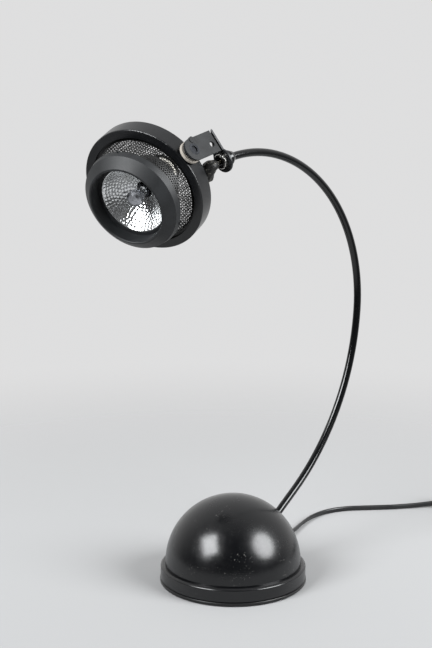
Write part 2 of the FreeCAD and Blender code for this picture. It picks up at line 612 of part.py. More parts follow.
K = 10
rs = [34.0 + (8.0 - 34.0) * i / K for i in range(K + 1)]
pts = [(x, dish(x)) for x in rs] + [(x + 1.0, dish(x) - 0.7) for x in reversed(rs[1:])]
turned("lamp_reflector", [("%.3f" % a, "%.3f" % c) for a, c in pts] + [("lamp_rim", "lamp_fwd - 1.6"), ("lamp_rim", "lamp_fwd")], HEAD)
turned("lamp_burner", [("0", "0"), ("4.4", "0"), ("5.4", "4"), ("5.4", "9"), ("3.6", "12"), ("0", "13")], HEAD)
cap, r = turned("burner_cap", [("6.2", "9.5"), ("7.0", "9.5"), ("8.3", "16.2"), ("8.1", "18.2"), ("5.2", "19.8"), ("0", "20.2"), ("0", "19.5"), ("4.9", "19.1"), ("7.3", "17.7"), ("7.5", "16.3")], add=False)
node(fuse("burner_cap_legged", cap, *[cyl("cap_leg_%d" % i, "0.42", "10.0", at(6.42 * s_, 0, -0.05)) for i, s_ in enumerate((-1, 1))]), "burner_cap", HEAD)
b, r = turned("lamp_base", [("0", "-36"), ("7.5", "-36"), ("7.5", "-6"), ("6.9", "-3.4"), ("6.9", "-0.1"), ("0", "-0.1")], add=False)
pin = cyl("base_pin", "1.0", "19", FreeCAD.Placement(V(0, -9.5, -31), FreeCAD.Rotation(V(1, 0, 0), -90)))
node(fuse("lamp_base_pinned", b, pin), "lamp_base", HEAD)
turned("lampholder", [("0", "-50"), ("9.5", "-50"), ("11.5", "-48"), ("11.5", "-38"), ("13.2", "-38"), ("13.2", "-35.4"), ("11.5", "-35.4"), ("11.5", "-24.5"),
                      ("9.9", "-24.5"), ("9.9", "-37"), ("0", "-37")], HEAD)
turned("inner_cup", [("37.3", "lamp_fwd + 0.1"), ("37.3", "12"), ("34.5", "-2"), ("27", "-20"), ("15", "-33"), ("11.7", "-35.3"), ("13.4", "-35.3"), ("16", "-34"),
                     ("28", "-21"), ("35.4", "-2.4"), ("38.3", "11.8"), ("38.3", "lamp_fwd + 0.1")], HEAD)
turned("lamp_spring", [("35.5", "16.4"), ("37.1", "16.4"), ("37.1", "18.2"), ("35.5", "18.2")], HEAD)
bz = []
for i, (v, q) in enumerate(BZ):
    loc = FreeCAD.Placement(V(0, 0, 19.5), q)
    bz.append(fuse("bezel_screw_%d" % i, cyl("bezel_screw_head_%d" % i, "0.85", "0.8", HEAD.multiply(loc).multiply(at(0, 0, 51.4))),
                   cyl("bezel_screw_shank_%d" % i, "0.62", "4.0", HEAD.multiply(loc).multiply(at(0, 0, 47.5)))))
group("bezel_screws", bz)
doc.recompute()


# ---------------------------------------------------------------------------
# leads
# ---------------------------------------------------------------------------
def run_and_arcs(pts_, factor=0.45):
    """Straight runs joined by tangent arcs; gives the wire, its length and radii."""
    edges, radii, total = [], [], 0.0
    prev = pts_[0]
    for i in range(1, len(pts_) - 1):
        a_, p_, c_ = pts_[i - 1], pts_[i], pts_[i + 1]
        u, v = (p_ - a_), (c_ - p_)
        lu, lv = u.Length, v.Length
        u, v = u * (1 / lu), v * (1 / lv)
        turn_ = math.acos(max(-1, min(1, u * v)))
        r_ = factor * min(lu, lv) / math.tan(turn_ / 2)
        tl = r_ * math.tan(turn_ / 2)
        s_, e_ = p_ - u * tl, p_ + v * tl
        bis = v - u
        bis = bis * (1 / bis.Length)
        cen = p_ + bis * (r_ / math.cos(turn_ / 2))
        m_ = cen - bis * r_
        edges.append(Part.LineSegment(prev, s_).toShape())
        total += (s_ - prev).Length
        edges.append(Part.Arc(s_, m_, e_).toShape())
        total += r_ * turn_
        radii.append(round(r_, 1))
        prev = e_
    edges.append(Part.LineSegment(prev, pts_[-1]).toShape())
    total += (pts_[-1] - prev).Length
    return Part.Wire(edges), total, radii


def tube_along(pts_, radius, label):
    wire, length, radii = run_and_arcs(pts_)
    t_ = V(pts_[1] - pts_[0]).normalize()
    disc = Part.Wire([Part.makeCircle(radius, pts_[0], t_)])
    shape = wire.makePipeShell([disc], True, False)
    o_ = doc.addObject("Part::Feature", label + "_tube")
    o_.Shape = shape
    print("%s: length %.1f mm, radii %s, volume %.1f of %.1f" % (label, length, radii, shape.Volume, math.pi * radius * radius * length))
    node(o_, label)
    return length


# sleeved lamp lead: out of the stem's bush, round and back into the lampholder
H1 = HEAD.multVec(V(0, 0, -50.05))
tube_along([END + ENDDIR * 0.3, END + ENDDIR * 9.5, END + V(-11.8, 4.8, -12.0), END + V(-3.0, 17.3, -19.3), END + V(10.5, 34.0, -20.0),
            H1 + V(30.0, -20.0, -4.0), H1 + V(31.0, -3.0, 7.0), H1 - AIM * 16.0, H1], 2.4, "lamp_lead")

# mains cord: twin flat lead, seen to leave behind the base; the rest is put
# away in a coil with its rocker switch and plug
CA, SA = math.cos(math.radians(44.0)), math.sin(math.radians(44.0))


def floor(x, y, z):
    """A place given along and across the direction that the cord runs off in."""
    return V(x * CA + y * SA, -x * SA + y * CA, z)


CR = 2.9
ROUTE_A = [floor(*p) for p in [
    (44.55, 87.45, 11.0), (54.0, 106.0, 10.6), (63.5, 124.0, 4.2), (72.5, 143.0, 2.95), (81.5, 164.0, 2.95), (93.5, 185.5, 2.95), (110.5, 203.5, 2.95),
    (133.0, 215.0, 2.95), (160.0, 218.0, 2.95), (192.0, 220.5, 2.95), (222.0, 226.0, 3.4), (251.95, 229.0, 6.2)]]
ROUTE_A[0] = cord_dir * (RELIEF_TIP + 0.02) + V(0, 0, CORD_Z)
ROUTE_A[1] = cord_dir * (RELIEF_TIP + 18.0) + V(0, 0, 10.6)
tube_along(ROUTE_A, CR, "cord_lead")

# in-line rocker switch, square to the cord where it has left the view
SWX = V(CA, -SA, 0)
SW = frame(floor(283.0, 229.0, 0.0), V(0, 0, 1), SWX)
L_, W_, H_ = 62.0, 25.0, 17.0
lo = rounded("switch_base_round", box("switch_base_block", str(L_), str(W_), "8.4", at(-L_ / 2, -W_ / 2, 0.0)), 6.0,
             lambda e: abs(e.Vertexes[0].Z - e.Vertexes[-1].Z) > 5)
lo_c = box("switch_base_cavity", "40", "19", "7", at(-20, -9.5, 1.8))
bore = cyl("switch_bore", "3.0", "70", FreeCAD.Placement(V(-35, 0, 6.2), FreeCAD.Rotation(V(0, 1, 0), 90)))
node(cut("switch_base_cut", lo, fuse("switch_base_cuts", lo_c, bore)), "switch_base", SW)
up = rounded("switch_cover_round", box("switch_cover_block", str(L_), str(W_), "8.5", at(-L_ / 2, -W_ / 2, 8.5)), 6.0,
             lambda e: abs(e.Vertexes[0].Z - e.Vertexes[-1].Z) > 5)
up2 = rounded("switch_cover_crown", up, 3.0, lambda e: all(abs(v.Z - H_) < 1e-6 for v in e.Vertexes))
up_c = box("switch_cover_cavity", "40", "19", "7", at(-20, -9.5, 7.0))
win = box("switch_window", "23", "12.4", "9", at(-11.5, -6.2, 12.0))
bore2 = cyl("switch_bore_two", "3.0", "70", FreeCAD.Placement(V(-35, 0, 6.2), FreeCAD.Rotation(V(0, 1, 0), 90)))
pinbore = cyl("switch_pin_bore", "1.0", "17", FreeCAD.Placement(V(0, -8.5, 14.6), FreeCAD.Rotation(V(1, 0, 0), -90)))
node(cut("switch_cover_cut", up2, fuse("switch_cover_cuts", up_c, win, bore2, pinbore)), "switch_cover", SW)
rk = Part.Wire([Part.LineSegment(V(-10.6, -5.7, 12.2), V(10.6, -5.7, 12.2)).toShape(),
                Part.LineSegment(V(10.6, -5.7, 12.2), V(10.6, -5.7, 18.0)).toShape(),
                Part.Arc(V(10.6, -5.7, 18.0), V(0, -5.7, 16.6), V(-10.6, -5.7, 18.0)).toShape(),
                Part.LineSegment(V(-10.6, -5.7, 18.0), V(-10.6, -5.7, 12.2)).toShape()])
rock = doc.addObject("Part::Feature", "rocker_block")
rock.Shape = Part.Face(rk).extrude(V(0, 11.4, 0))
rbore = cyl("rocker_bore", "1.05", "20", FreeCAD.Placement(V(0, -10, 14.6), FreeCAD.Rotation(V(1, 0, 0), -90)))
ROCK0 = FreeCAD.Placement(V(0, 0, 0), FreeCAD.Rotation(V(0, 1, 0), -9), V(0, 0, 14.6))
node(cut("rocker_bored", rock, rbore), "switch_rocker", SW.multiply(ROCK0))
node(cyl("rocker_pin_body", "0.98", "16.8", SW.multiply(FreeCAD.Placement(V(0, -8.4, 14.6), FreeCAD.Rotation(V(1, 0, 0), -90)))), "rocker_pin")

COIL = floor(300.0, 163.0, 0.0)
cring = frame(COIL, V(0, 0, 1), SWX)
turned("cord_coil", [("26.9", "1.2"), ("28.0", "0.05"), ("42.0", "0.05"), ("43.1", "1.2"), ("43.1", "10.8"), ("42.0", "12.0"), ("28.0", "12.0"), ("26.9", "10.8")], cring)
ROUTE_B = [floor(*p) for p in [(314.05, 229.0, 6.2), (329.0, 228.0, 4.4), (342.0, 220.0, 2.95), (347.5, 205.0, 2.95), (345.0, 189.0, 2.95), (341.0, 176.0, 2.95)]]
tube_along(ROUTE_B, CR, "cord_tail")
ROUTE_C = [floor(*p) for p in [(339.0, 157.0, 4.0), (341.5, 144.0, 4.0), (343.5, 131.0, 5.6), (343.0, 118.05, 7.0)]]
tube_along(ROUTE_C, CR, "cord_end")
# a tie round the coil
tie_o = box("tie_outer", "19.0", "4.6", "13.2", at(25.7, -2.3, 0.0))
node(cut("tie_cut", tie_o, box("tie_inner", "16.6", "9", "12.3", at(26.7, -4.5, -0.1))), "coil_tie", cring.multiply(FreeCAD.Placement(V(0, 0, 0), FreeCAD.Rotation(V(0, 0, 1), 200))))

# two-pin plug lying beside the coil
PL = frame(floor(343.0, 118.0, 7.0), floor(0, -1, 0) - floor(0, 0, 0), V(0, 0, 1))     # local z = the way the pins point
neck = Part.makeCone(4.6, 6.4, 17.0).cut(Part.makeBox(40, 40, 40, V(6.3, -20, -10))).cut(Part.makeBox(40, 40, 40, V(-46.3, -20, -10)))
pb_ = doc.addObject("Part::Feature", "plug_neck")
pb_.Shape = neck
blk = rounded("plug_block_round", box("plug_block", "13.8", "26", "22", at(-6.9, -13, 14.5)), 2.4, lambda e: abs(e.Vertexes[0].Z - e.Vertexes[-1].Z) > 5)
blk2 = rounded("plug_block_ends", blk, 1.0, lambda e: all(abs(v.Z - 14.5) < 1e-6 for v in e.Vertexes))
pr = fuse("plug_shell", pb_, blk2)
pinholes = [cyl("plug_hole_%d" % i, "1.52", "8", at(0, y, 30.5)) for i, y in enumerate((-9.3, 9.3))]
node(cut("plug_body_cut", pr, fuse("plug_holes", *pinholes)), "plug_body", PL)
group("plug_pins", [fuse("plug_pin_%d" % i, cyl("plug_pin_shank_%d" % i, "2.0", "19", PL.multiply(at(0, y, 36.55))),
                         cyl("plug_pin_root_%d" % i, "1.5", "6.2", PL.multiply(at(0, y, 30.6)))) for i, y in enumerate((-9.3, 9.3))])

# ---------------------------------------------------------------------------
# write out
# ---------------------------------------------------------------------------
doc.recompute()
bad = [o_.Name for o_ in doc.Objects if "Invalid" in o_.State or "Error" in o_.State]
if bad:
    raise RuntimeError("failed objects: %s" % bad)
os.makedirs("parts", exist_ok=True)
for old in os.listdir("parts"):
    if old.endswith(".step"):
        os.remove(os.path.join("parts", old))
names = set()
for o_ in NODES:
    s_ = o_.Shape
    if s_.isNull() or not s_.isValid() or not s_.Solids or s_.Volume <= 0:
        raise RuntimeError("bad shape: " + o_.Label)
    if o_.Label in names:
        raise RuntimeError("label used twice: " + o_.Label)
    names.add(o_.Label)
    s_.exportStep("parts/%s.step" % o_.Label)
print(len(NODES), "nodes")
for nm, v_ in (("HEADCENTRE", HEADCENTRE), ("AIM", AIM), ("PIVOT", PIVOT), ("PIVOTPOINT", PIVOTPOINT), ("END", END), ("ENDDIR", ENDDIR), ("LEG", LEG), ("LEGSIDE", LEGSIDE)):
    print(nm, [round(c_, 4) for c_ in v_])
print("ROCKER", [round(c_, 3) for c_ in SW.multVec(V(0, 0, 14.6))], "SWAXISY", [round(c_, 4) for c_ in (SW.Rotation.multVec(V(0, 1, 0)))])
print("PLUG", [round(c_, 3) for c_ in PL.multVec(V(0, 0, 45))], [round(c_, 4) for c_ in PL.Rotation.multVec(V(0, 0, 1))], "PINS", [[round(c_, 3) for c_ in PL.multVec(V(0, y, 46.1))] for y in (-9.3, 9.3)])
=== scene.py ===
import math
import random

import bmesh
import bpy
from mathutils import Matrix, Vector, noise

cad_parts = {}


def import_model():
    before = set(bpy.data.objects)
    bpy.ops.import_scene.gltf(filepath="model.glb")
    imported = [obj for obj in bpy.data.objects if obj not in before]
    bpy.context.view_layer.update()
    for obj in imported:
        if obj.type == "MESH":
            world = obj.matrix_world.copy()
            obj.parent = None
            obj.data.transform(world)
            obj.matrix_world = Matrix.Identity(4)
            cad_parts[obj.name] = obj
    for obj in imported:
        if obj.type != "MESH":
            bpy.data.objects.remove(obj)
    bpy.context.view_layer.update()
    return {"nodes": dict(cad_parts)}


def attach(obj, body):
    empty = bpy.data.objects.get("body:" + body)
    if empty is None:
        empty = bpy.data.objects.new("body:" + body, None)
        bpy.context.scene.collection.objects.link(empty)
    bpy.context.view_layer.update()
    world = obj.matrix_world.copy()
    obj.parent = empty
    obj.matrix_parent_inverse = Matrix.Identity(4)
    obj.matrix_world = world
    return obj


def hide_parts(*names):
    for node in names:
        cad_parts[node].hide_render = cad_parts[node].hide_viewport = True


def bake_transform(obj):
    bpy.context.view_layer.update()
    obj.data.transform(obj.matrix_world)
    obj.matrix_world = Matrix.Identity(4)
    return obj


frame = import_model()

scene = bpy.context.scene
NODES = frame["nodes"]
MM = 0.001

# ---------------------------------------------------------------------------
# frames of the object, in metres: the head's centre and aim, the tilt axis,
# the stem's end
# ---------------------------------------------------------------------------
AIM = Vector((-0.8773, -0.2607, -0.4030)).normalized()
PIVOT = Vector((0.0214, -0.8600, 0.5098))
PIVOT = (PIVOT - AIM * PIVOT.dot(AIM)).normalized()
HEADCENTRE = Vector((-64.7652, 60.2168, 400.0391)) * MM
END = Vector((-16.5601, 0.0, 429.2536)) * MM
ENDDIR = Vector((-0.9572, 0.0, -0.2894)).normalized()
HEAD_Y = AIM.cross(PIVOT)
HEAD = Matrix(((PIVOT.x, HEAD_Y.x, AIM.x, HEADCENTRE.x), (PIVOT.y, HEAD_Y.y, AIM.y, HEADCENTRE.y),
               (PIVOT.z, HEAD_Y.z, AIM.z, HEADCENTRE.z), (0, 0, 0, 1)))
CA, SA = math.cos(math.radians(44.0)), math.sin(math.radians(44.0))


def floor_point(x, y, z):
    """A place on the floor given across (x) and away from (y) the eye, in millimetres."""
    return Vector((x * CA + y * SA, -x * SA + y * CA, z)) * MM


# ---------------------------------------------------------------------------
# camera
# ---------------------------------------------------------------------------
cam_data = bpy.data.cameras.new("camera")
cam_data.lens = 75.0
cam_data.sensor_width = 36.0
cam_data.sensor_fit = "AUTO"
cam_data.clip_start, cam_data.clip_end = 0.05, 60.0
cam_data.dof.use_dof = False
camera = bpy.data.objects.new("camera", cam_data)
scene.collection.objects.link(camera)
camera.location = (-0.92693, -0.93468, 0.52133)
camera.rotation_euler = (math.radians(79.08), 0.0, math.radians(-44.0))
scene.camera = camera


# ---------------------------------------------------------------------------
# material helpers
# ---------------------------------------------------------------------------
class Nodes:
    """A small writer for one material's node tree."""

    def __init__(self, name, **sockets):
        self.mat = bpy.data.materials.new(name)
        self.mat.use_nodes = True
        self.tree = self.mat.node_tree
        self.bsdf = next(n for n in self.tree.nodes if n.type == "BSDF_PRINCIPLED")
        for key, value in sockets.items():
            self.bsdf.inputs[key.replace("_", " ")].default_value = value
        self.coord = self.tree.nodes.new("ShaderNodeTexCoord")

    def new(self, kind, **props):
        n = self.tree.nodes.new(kind)
        for k, v in props.items():
            setattr(n, k, v)
        return n

    def link(self, a, b):
        self.tree.links.new(a, b)
        return b

    def place(self, scale=(1, 1, 1), rotation=(0, 0, 0), source="Object"):
        m = self.new("ShaderNodeMapping")
        m.inputs["Scale"].default_value = scale
        m.inputs["Rotation"].default_value = rotation
        self.link(self.coord.outputs[source], m.inputs["Vector"])
        return m.outputs["Vector"]

    def noise(self, scale, detail=2.0, rough=0.5, vector=None, distortion=0.0):
        n = self.new("ShaderNodeTexNoise")
        n.inputs["Scale"].default_value = scale
        n.inputs["Detail"].default_value = detail
        n.inputs["Roughness"].default_value = rough
        n.inputs["Distortion"].default_value = distortion
        self.link(vector if vector is not None else self.coord.outputs["Object"], n.inputs["Vector"])
        return n.outputs["Fac"]

    def voronoi(self, scale, feature="F1", vector=None, randomness=1.0, out="Distance"):
        n = self.new("ShaderNodeTexVoronoi", feature=feature)
        n.inputs["Scale"].default_value = scale
        n.inputs["Randomness"].default_value = randomness
        self.link(vector if vector is not None else self.coord.outputs["Object"], n.inputs["Vector"])
        return n.outputs[out]

    def ramp(self, fac, lo, hi, to_lo=0.0, to_hi=1.0, smooth=True):
        n = self.new("ShaderNodeMapRange", interpolation_type="SMOOTHSTEP" if smooth else "LINEAR")
        n.clamp = True
        self.link(fac, n.inputs["Value"])
        n.inputs["From Min"].default_value = lo
        n.inputs["From Max"].default_value = hi
        n.inputs["To Min"].default_value = to_lo
        n.inputs["To Max"].default_value = to_hi
        return n.outputs["Result"]

    def maths(self, op, a, b=None, clamp=False):
        n = self.new("ShaderNodeMath", operation=op)
        n.use_clamp = clamp
        for i, v in enumerate((a, b)):
            if v is None:
                continue
            if isinstance(v, (int, float)):
                n.inputs[i].default_value = v
            else:
                self.link(v, n.inputs[i])
        return n.outputs[0]

    def mix(self, fac, a, b):
        n = self.new("ShaderNodeMix", data_type="RGBA")
        self.link(fac, n.inputs[0])
        for i, v in ((6, a), (7, b)):
            if isinstance(v, tuple):
                n.inputs[i].default_value = v
            else:
                self.link(v, n.inputs[i])
        return n.outputs[2]

    def colour(self, out):
        self.link(out, self.bsdf.inputs["Base Color"])

    def rough(self, out):
        self.link(out, self.bsdf.inputs["Roughness"])

    def bump(self, height, strength, distance):
        n = self.new("ShaderNodeBump")
        n.inputs["Strength"].default_value = strength
        n.inputs["Distance"].default_value = distance
        self.link(height, n.inputs["Height"])
        self.link(n.outputs["Normal"], self.bsdf.inputs["Normal"])
        return n


def enamel(name, colour, rough=(0.12, 0.22), peel=0.10, dust=0.5, scratch=0.5, speck=620.0, tint=(0.32, 0.31, 0.29)):
    """Stoved black enamel: faint orange peel, uneven gloss, dust specks, hair scratches."""
    n = Nodes(name)
    c = (colour[0], colour[1], colour[2], 1.0)
    smear = n.ramp(n.noise(26.0, 3.0, 0.6), 0.35, 0.72)
    fine = n.ramp(n.noise(210.0, 4.0, 0.65), 0.40, 0.75)
    n.rough(n.ramp(n.maths("ADD", n.maths("MULTIPLY", smear, 0.65), n.maths("MULTIPLY", fine, 0.35)), 0.0, 1.0, rough[0], rough[1], smooth=False))
    where = n.ramp(n.noise(48.0, 2.0, 0.5), 0.46, 0.62)
    specks = n.maths("MULTIPLY", n.ramp(n.voronoi(speck), 0.10, 0.02), where)
    hair = n.ramp(n.noise(1.0, 2.0, 0.4, n.place((60.0, 1500.0, 500.0), (0.3, 0.5, 0.9)), 0.6), 0.70, 0.76)
    hair2 = n.ramp(n.noise(1.0, 2.0, 0.4, n.place((1300.0, 70.0, 420.0), (0.2, 0.9, 0.4)), 0.6), 0.71, 0.77)
    lines = n.maths("MULTIPLY", n.maths("ADD", hair, hair2, clamp=True), n.ramp(n.noise(33.0, 1.0), 0.50, 0.62))
    marks = n.maths("ADD", n.maths("MULTIPLY", specks, dust), n.maths("MULTIPLY", lines, scratch * 0.35), clamp=True)
    film = n.maths("MULTIPLY", n.ramp(n.noise(70.0, 5.0, 0.7), 0.45, 0.85), 0.016 * dust)
    base = n.mix(film, c, (tint[0], tint[1], tint[2], 1.0))
    n.colour(n.mix(marks, base, (tint[0], tint[1], tint[2], 1.0)))
    n.bump(n.maths("ADD", n.noise(330.0, 2.0, 0.5), n.maths("MULTIPLY", lines, -0.5)), peel, 0.0004)
    return n.mat


def powder(name, colour, rough=(0.34, 0.46), grain=0.22, scale=1500.0, edge=0.0):
    """Fine satin coat with a slight grain."""
    n = Nodes(name)
    c = (colour[0], colour[1], colour[2], 1.0)
    light = tuple(min(1.0, v * 2.1 + 0.004) for v in colour) + (1.0,)
    cloud = n.ramp(n.noise(55.0, 4.0, 0.6), 0.35, 0.75)
    grit = n.noise(scale, 3.0, 0.6)
    n.colour(n.mix(n.maths("MULTIPLY", n.ramp(grit, 0.52, 0.74), 0.6), n.mix(n.maths("MULTIPLY", cloud, 0.5), c, light), light))
    n.rough(n.ramp(n.maths("ADD", n.maths("MULTIPLY", cloud, 0.5), n.maths("MULTIPLY", grit, 0.5)), 0.1, 0.9, rough[0], rough[1], smooth=False))
    n.bump(grit, grain, 0.0003)
    return n.mat


def metal(name, colour, rough=(0.22, 0.36), brush=(1.0, 1.0, 1.0), scale=400.0, tarnish=(0.35, 0.33, 0.30), amount=0.35, bump=0.05):
    n = Nodes(name, Metallic=1.0)
    c = (colour[0], colour[1], colour[2], 1.0)
    v = n.place(brush)
    streak = n.noise(scale, 3.0, 0.6, v)
    cloud = n.ramp(n.noise(90.0, 3.0, 0.6), 0.42, 0.78)
    n.colour(n.mix(n.maths("MULTIPLY", cloud, amount), c, (tarnish[0], tarnish[1], tarnish[2], 1.0)))
    n.rough(n.ramp(streak, 0.3, 0.75, rough[0], rough[1]))
    n.bump(streak, bump, 0.0002)
    return n.mat


def polymer(name, colour, rough=(0.38, 0.52), grain=0.12, scale=900.0, vary=0.25):
    n = Nodes(name)
    c = (colour[0], colour[1], colour[2], 1.0)
    light = tuple(min(1.0, v * (1.0 + vary) + 0.006) for v in colour) + (1.0,)
    g = n.noise(scale, 3.0, 0.6)
    cloud = n.ramp(n.noise(60.0, 3.0, 0.55), 0.35, 0.7)
    n.colour(n.mix(cloud, c, light))
    n.rough(n.ramp(n.maths("ADD", n.maths("MULTIPLY", g, 0.5), n.maths("MULTIPLY", cloud, 0.5)), 0.2, 0.8, rough[0], rough[1], smooth=False))
    n.bump(g, grain, 0.0002)
    return n.mat


M = {}
M["gloss"] = enamel("gloss_enamel", (0.0022, 0.0024, 0.0030), (0.20, 0.30), 0.05, 0.26, 1.1)
M["ring"] = enamel("ring_enamel", (0.0040, 0.0041, 0.0047), (0.17, 0.30), 0.06, 0.35, 0.4)
M["plate"] = enamel("plate_enamel", (0.0030, 0.0031, 0.0034), (0.30, 0.42), 0.06, 0.3, 0.2)
M["stem"] = enamel("stem_enamel", (0.0032, 0.0034, 0.0038), (0.11, 0.18), 0.03, 0.12, 0.2)
M["head"] = powder("head_satin", (0.0042, 0.0046, 0.0054), (0.27, 0.36), 0.10)
M["bezel"] = powder("bezel_satin", (0.0060, 0.0068, 0.0078), (0.50, 0.60), 0.12)
M["bracket"] = powder("bracket_satin", (0.0040, 0.0048, 0.0058), (0.36, 0.46), 0.08)
M["mesh"] = powder("mesh_coat", (0.0080, 0.0080, 0.0080), (0.34, 0.48), 0.10)
M["cup"] = powder("cup_coat", (0.0050, 0.0050, 0.0055), (0.5, 0.6), 0.10)
M["zinc"] = metal("zinc_plate", (0.60, 0.60, 0.58), (0.28, 0.42))
M["nickel"] = metal("nickel_plate", (0.72, 0.70, 0.67), (0.10, 0.22), amount=0.25)
M["dull"] = metal("dull_nickel", (0.56, 0.55, 0.52), (0.20, 0.34), tarnish=(0.16, 0.15, 0.13), amount=0.55)
M["dark"] = metal("black_oxide", (0.055, 0.058, 0.065), (0.28, 0.42), tarnish=(0.03, 0.03, 0.03))
M["brass"] = metal("brass", (0.72, 0.52, 0.24), (0.22, 0.34), tarnish=(0.35, 0.24, 0.12))
M["copper"] = metal("copper", (0.80, 0.42, 0.25), (0.25, 0.36), tarnish=(0.3, 0.15, 0.08))
M["rubber"] = polymer("rubber", (0.016, 0.016, 0.017), (0.50, 0.66), 0.15)
M["plastic"] = polymer("black_moulding", (0.012, 0.012, 0.013), (0.30, 0.42), 0.10, 1400.0)
M["white"] = polymer("white_moulding", (0.72, 0.71, 0.66), (0.35, 0.5), 0.06)
M["cream"] = polymer("cream_fibre", (0.44, 0.40, 0.35), (0.34, 0.50), 0.18, 700.0, 0.12)
M["ceramic"] = polymer("ceramic", (0.70, 0.67, 0.60), (0.30, 0.42), 0.05)


def cord_material():
    n = Nodes("cord_sheath")
    g = n.noise(1800.0, 3.0, 0.6)
    cloud = n.ramp(n.noise(40.0, 4.0, 0.6), 0.35, 0.72)
    dust = n.maths("MULTIPLY", n.ramp(n.voronoi(900.0), 0.12, 0.03), n.ramp(n.noise(60.0), 0.5, 0.62))
    n.colour(n.mix(n.maths("MULTIPLY", dust, 0.35), n.mix(cloud, (0.0060, 0.0062, 0.0068, 1), (0.0110, 0.0110, 0.0115, 1)), (0.16, 0.16, 0.155, 1)))
    n.rough(n.ramp(cloud, 0.0, 1.0, 0.30, 0.44))
    n.bump(g, 0.06, 0.0002)
    return n.mat


M["cord"] = cord_material()


def felt_material():
    n = Nodes("felt")
    g = n.noise(2600.0, 5.0, 0.75)
    n.colour(n.mix(n.ramp(g, 0.35, 0.7), (0.012, 0.012, 0.013, 1), (0.035, 0.035, 0.036, 1)))
    n.rough(n.ramp(g, 0.2, 0.8, 0.85, 1.0))
    n.bump(g, 0.6, 0.0006)
    return n.mat


M["felt"] = felt_material()


def sleeve_material():
    """Varnished glass sleeving: dark braid with straw coloured flecks along the threads."""
    n = Nodes("sleeving")
    a = n.new("ShaderNodeTexWave", wave_type="BANDS", bands_direction="DIAGONAL")
    a.inputs["Scale"].default_value = 520.0
    a.inputs["Distortion"].default_value = 1.5
    n.link(n.coord.outputs["Object"], a.inputs["Vector"])
    b = n.new("ShaderNodeTexWave", wave_type="BANDS", bands_direction="DIAGONAL")
    b.inputs["Scale"].default_value = 520.0
    b.inputs["Distortion"].default_value = 1.5
    n.link(n.place((-1.0, 1.0, 1.0)), b.inputs["Vector"])
    braid = n.maths("MULTIPLY", a.outputs["Fac"], b.outputs["Fac"])
    fleck = n.maths("MULTIPLY", n.ramp(braid, 0.25, 0.6), n.ramp(n.noise(420.0, 2.0), 0.42, 0.60))
    n.colour(n.mix(fleck, (0.030, 0.027, 0.022, 1), (0.62, 0.55, 0.36, 1)))
    n.rough(n.ramp(braid, 0.0, 1.0, 0.55, 0.35))
    n.bump(braid, 0.5, 0.0004)
    return n.mat


M["sleeve"] = sleeve_material()


def wrap_material():
    """Dark braided sleeving with pale glass threads showing along it."""
    n = Nodes("dark_sleeving")
    streak = n.noise(1.0, 3.0, 0.6, n.place((260.0, 260.0, 1500.0), (0.25, 0.5, 0.2)))
    cross = n.noise(1.0, 3.0, 0.6, n.place((1300.0, 300.0, 300.0), (0.1, -0.4, 0.6)))
    fleck = n.maths("MULTIPLY", n.ramp(n.maths("MULTIPLY", streak, cross), 0.31, 0.40), n.ramp(n.noise(190.0, 2.0), 0.44, 0.60))
    n.colour(n.mix(fleck, (0.0060, 0.0056, 0.0050, 1), (0.52, 0.48, 0.38, 1)))
    n.rough(n.ramp(streak, 0.2, 0.8, 0.42, 0.62))
    n.bump(n.maths("ADD", streak, cross), 0.5, 0.0005)
    return n.mat


M["wrap"] = wrap_material()
M["thread"] = polymer("glass_thread", (0.50, 0.46, 0.38), (0.30, 0.45), 0.05, 900.0, 0.3)


def reflector_material():
    n = Nodes("bright_aluminium", Metallic=0.86)
    cloud = n.ramp(n.noise(60.0, 4.0, 0.6), 0.38, 0.75)
    n.colour(n.mix(cloud, (0.86, 0.87, 0.88, 1), (0.70, 0.71, 0.70, 1)))
    n.rough(n.ramp(n.noise(240.0, 3.0, 0.6), 0.35, 0.75, 0.13, 0.20))
    return n.mat


M["reflector"] = reflector_material()


def cap_material():
    n = Nodes("cap_metal", Metallic=1.0)
    g = n.noise(600.0, 3.0, 0.6)
    n.colour(n.mix(n.ramp(g, 0.3, 0.7), (0.50, 0.51, 0.54, 1), (0.38, 0.39, 0.42, 1)))
    n.rough(n.ramp(n.noise(150.0, 3.0, 0.6), 0.35, 0.75, 0.24, 0.38))
    n.bump(g, 0.04, 0.0002)
    return n.mat


M["cap"] = cap_material()


def quartz_material():
    n = Nodes("quartz", Metallic=0.0, IOR=1.46)
    n.bsdf.inputs["Transmission Weight"].default_value = 0.9
    n.colour(n.mix(n.ramp(n.noise(200.0), 0.4, 0.7), (0.92, 0.94, 0.95, 1), (0.80, 0.83, 0.85, 1)))
    n.rough(n.ramp(n.noise(300.0), 0.3, 0.7, 0.03, 0.10))
    return n.mat


M["quartz"] = quartz_material()


def winding_material():
    """Varnished copper windings under clear tape."""
    n = Nodes("winding")
    w = n.new("ShaderNodeTexWave", wave_type="RINGS", rings_direction="Z")
    w.inputs["Scale"].default_value = 260.0
    w.inputs["Distortion"].default_value = 2.0
    n.link(n.coord.outputs["Object"], w.inputs["Vector"])
    n.colour(n.mix(w.outputs["Fac"], (0.22, 0.10, 0.04, 1), (0.55, 0.28, 0.12, 1)))
    n.rough(n.ramp(n.noise(120.0), 0.3, 0.7, 0.30, 0.5))
    n.bump(w.outputs["Fac"], 0.3, 0.0005)
    return n.mat


M["winding"] = winding_material()


def finish_node(name, key):
    o = NODES[name]
    o.data.materials.clear()
    o.data.materials.append(M[key])


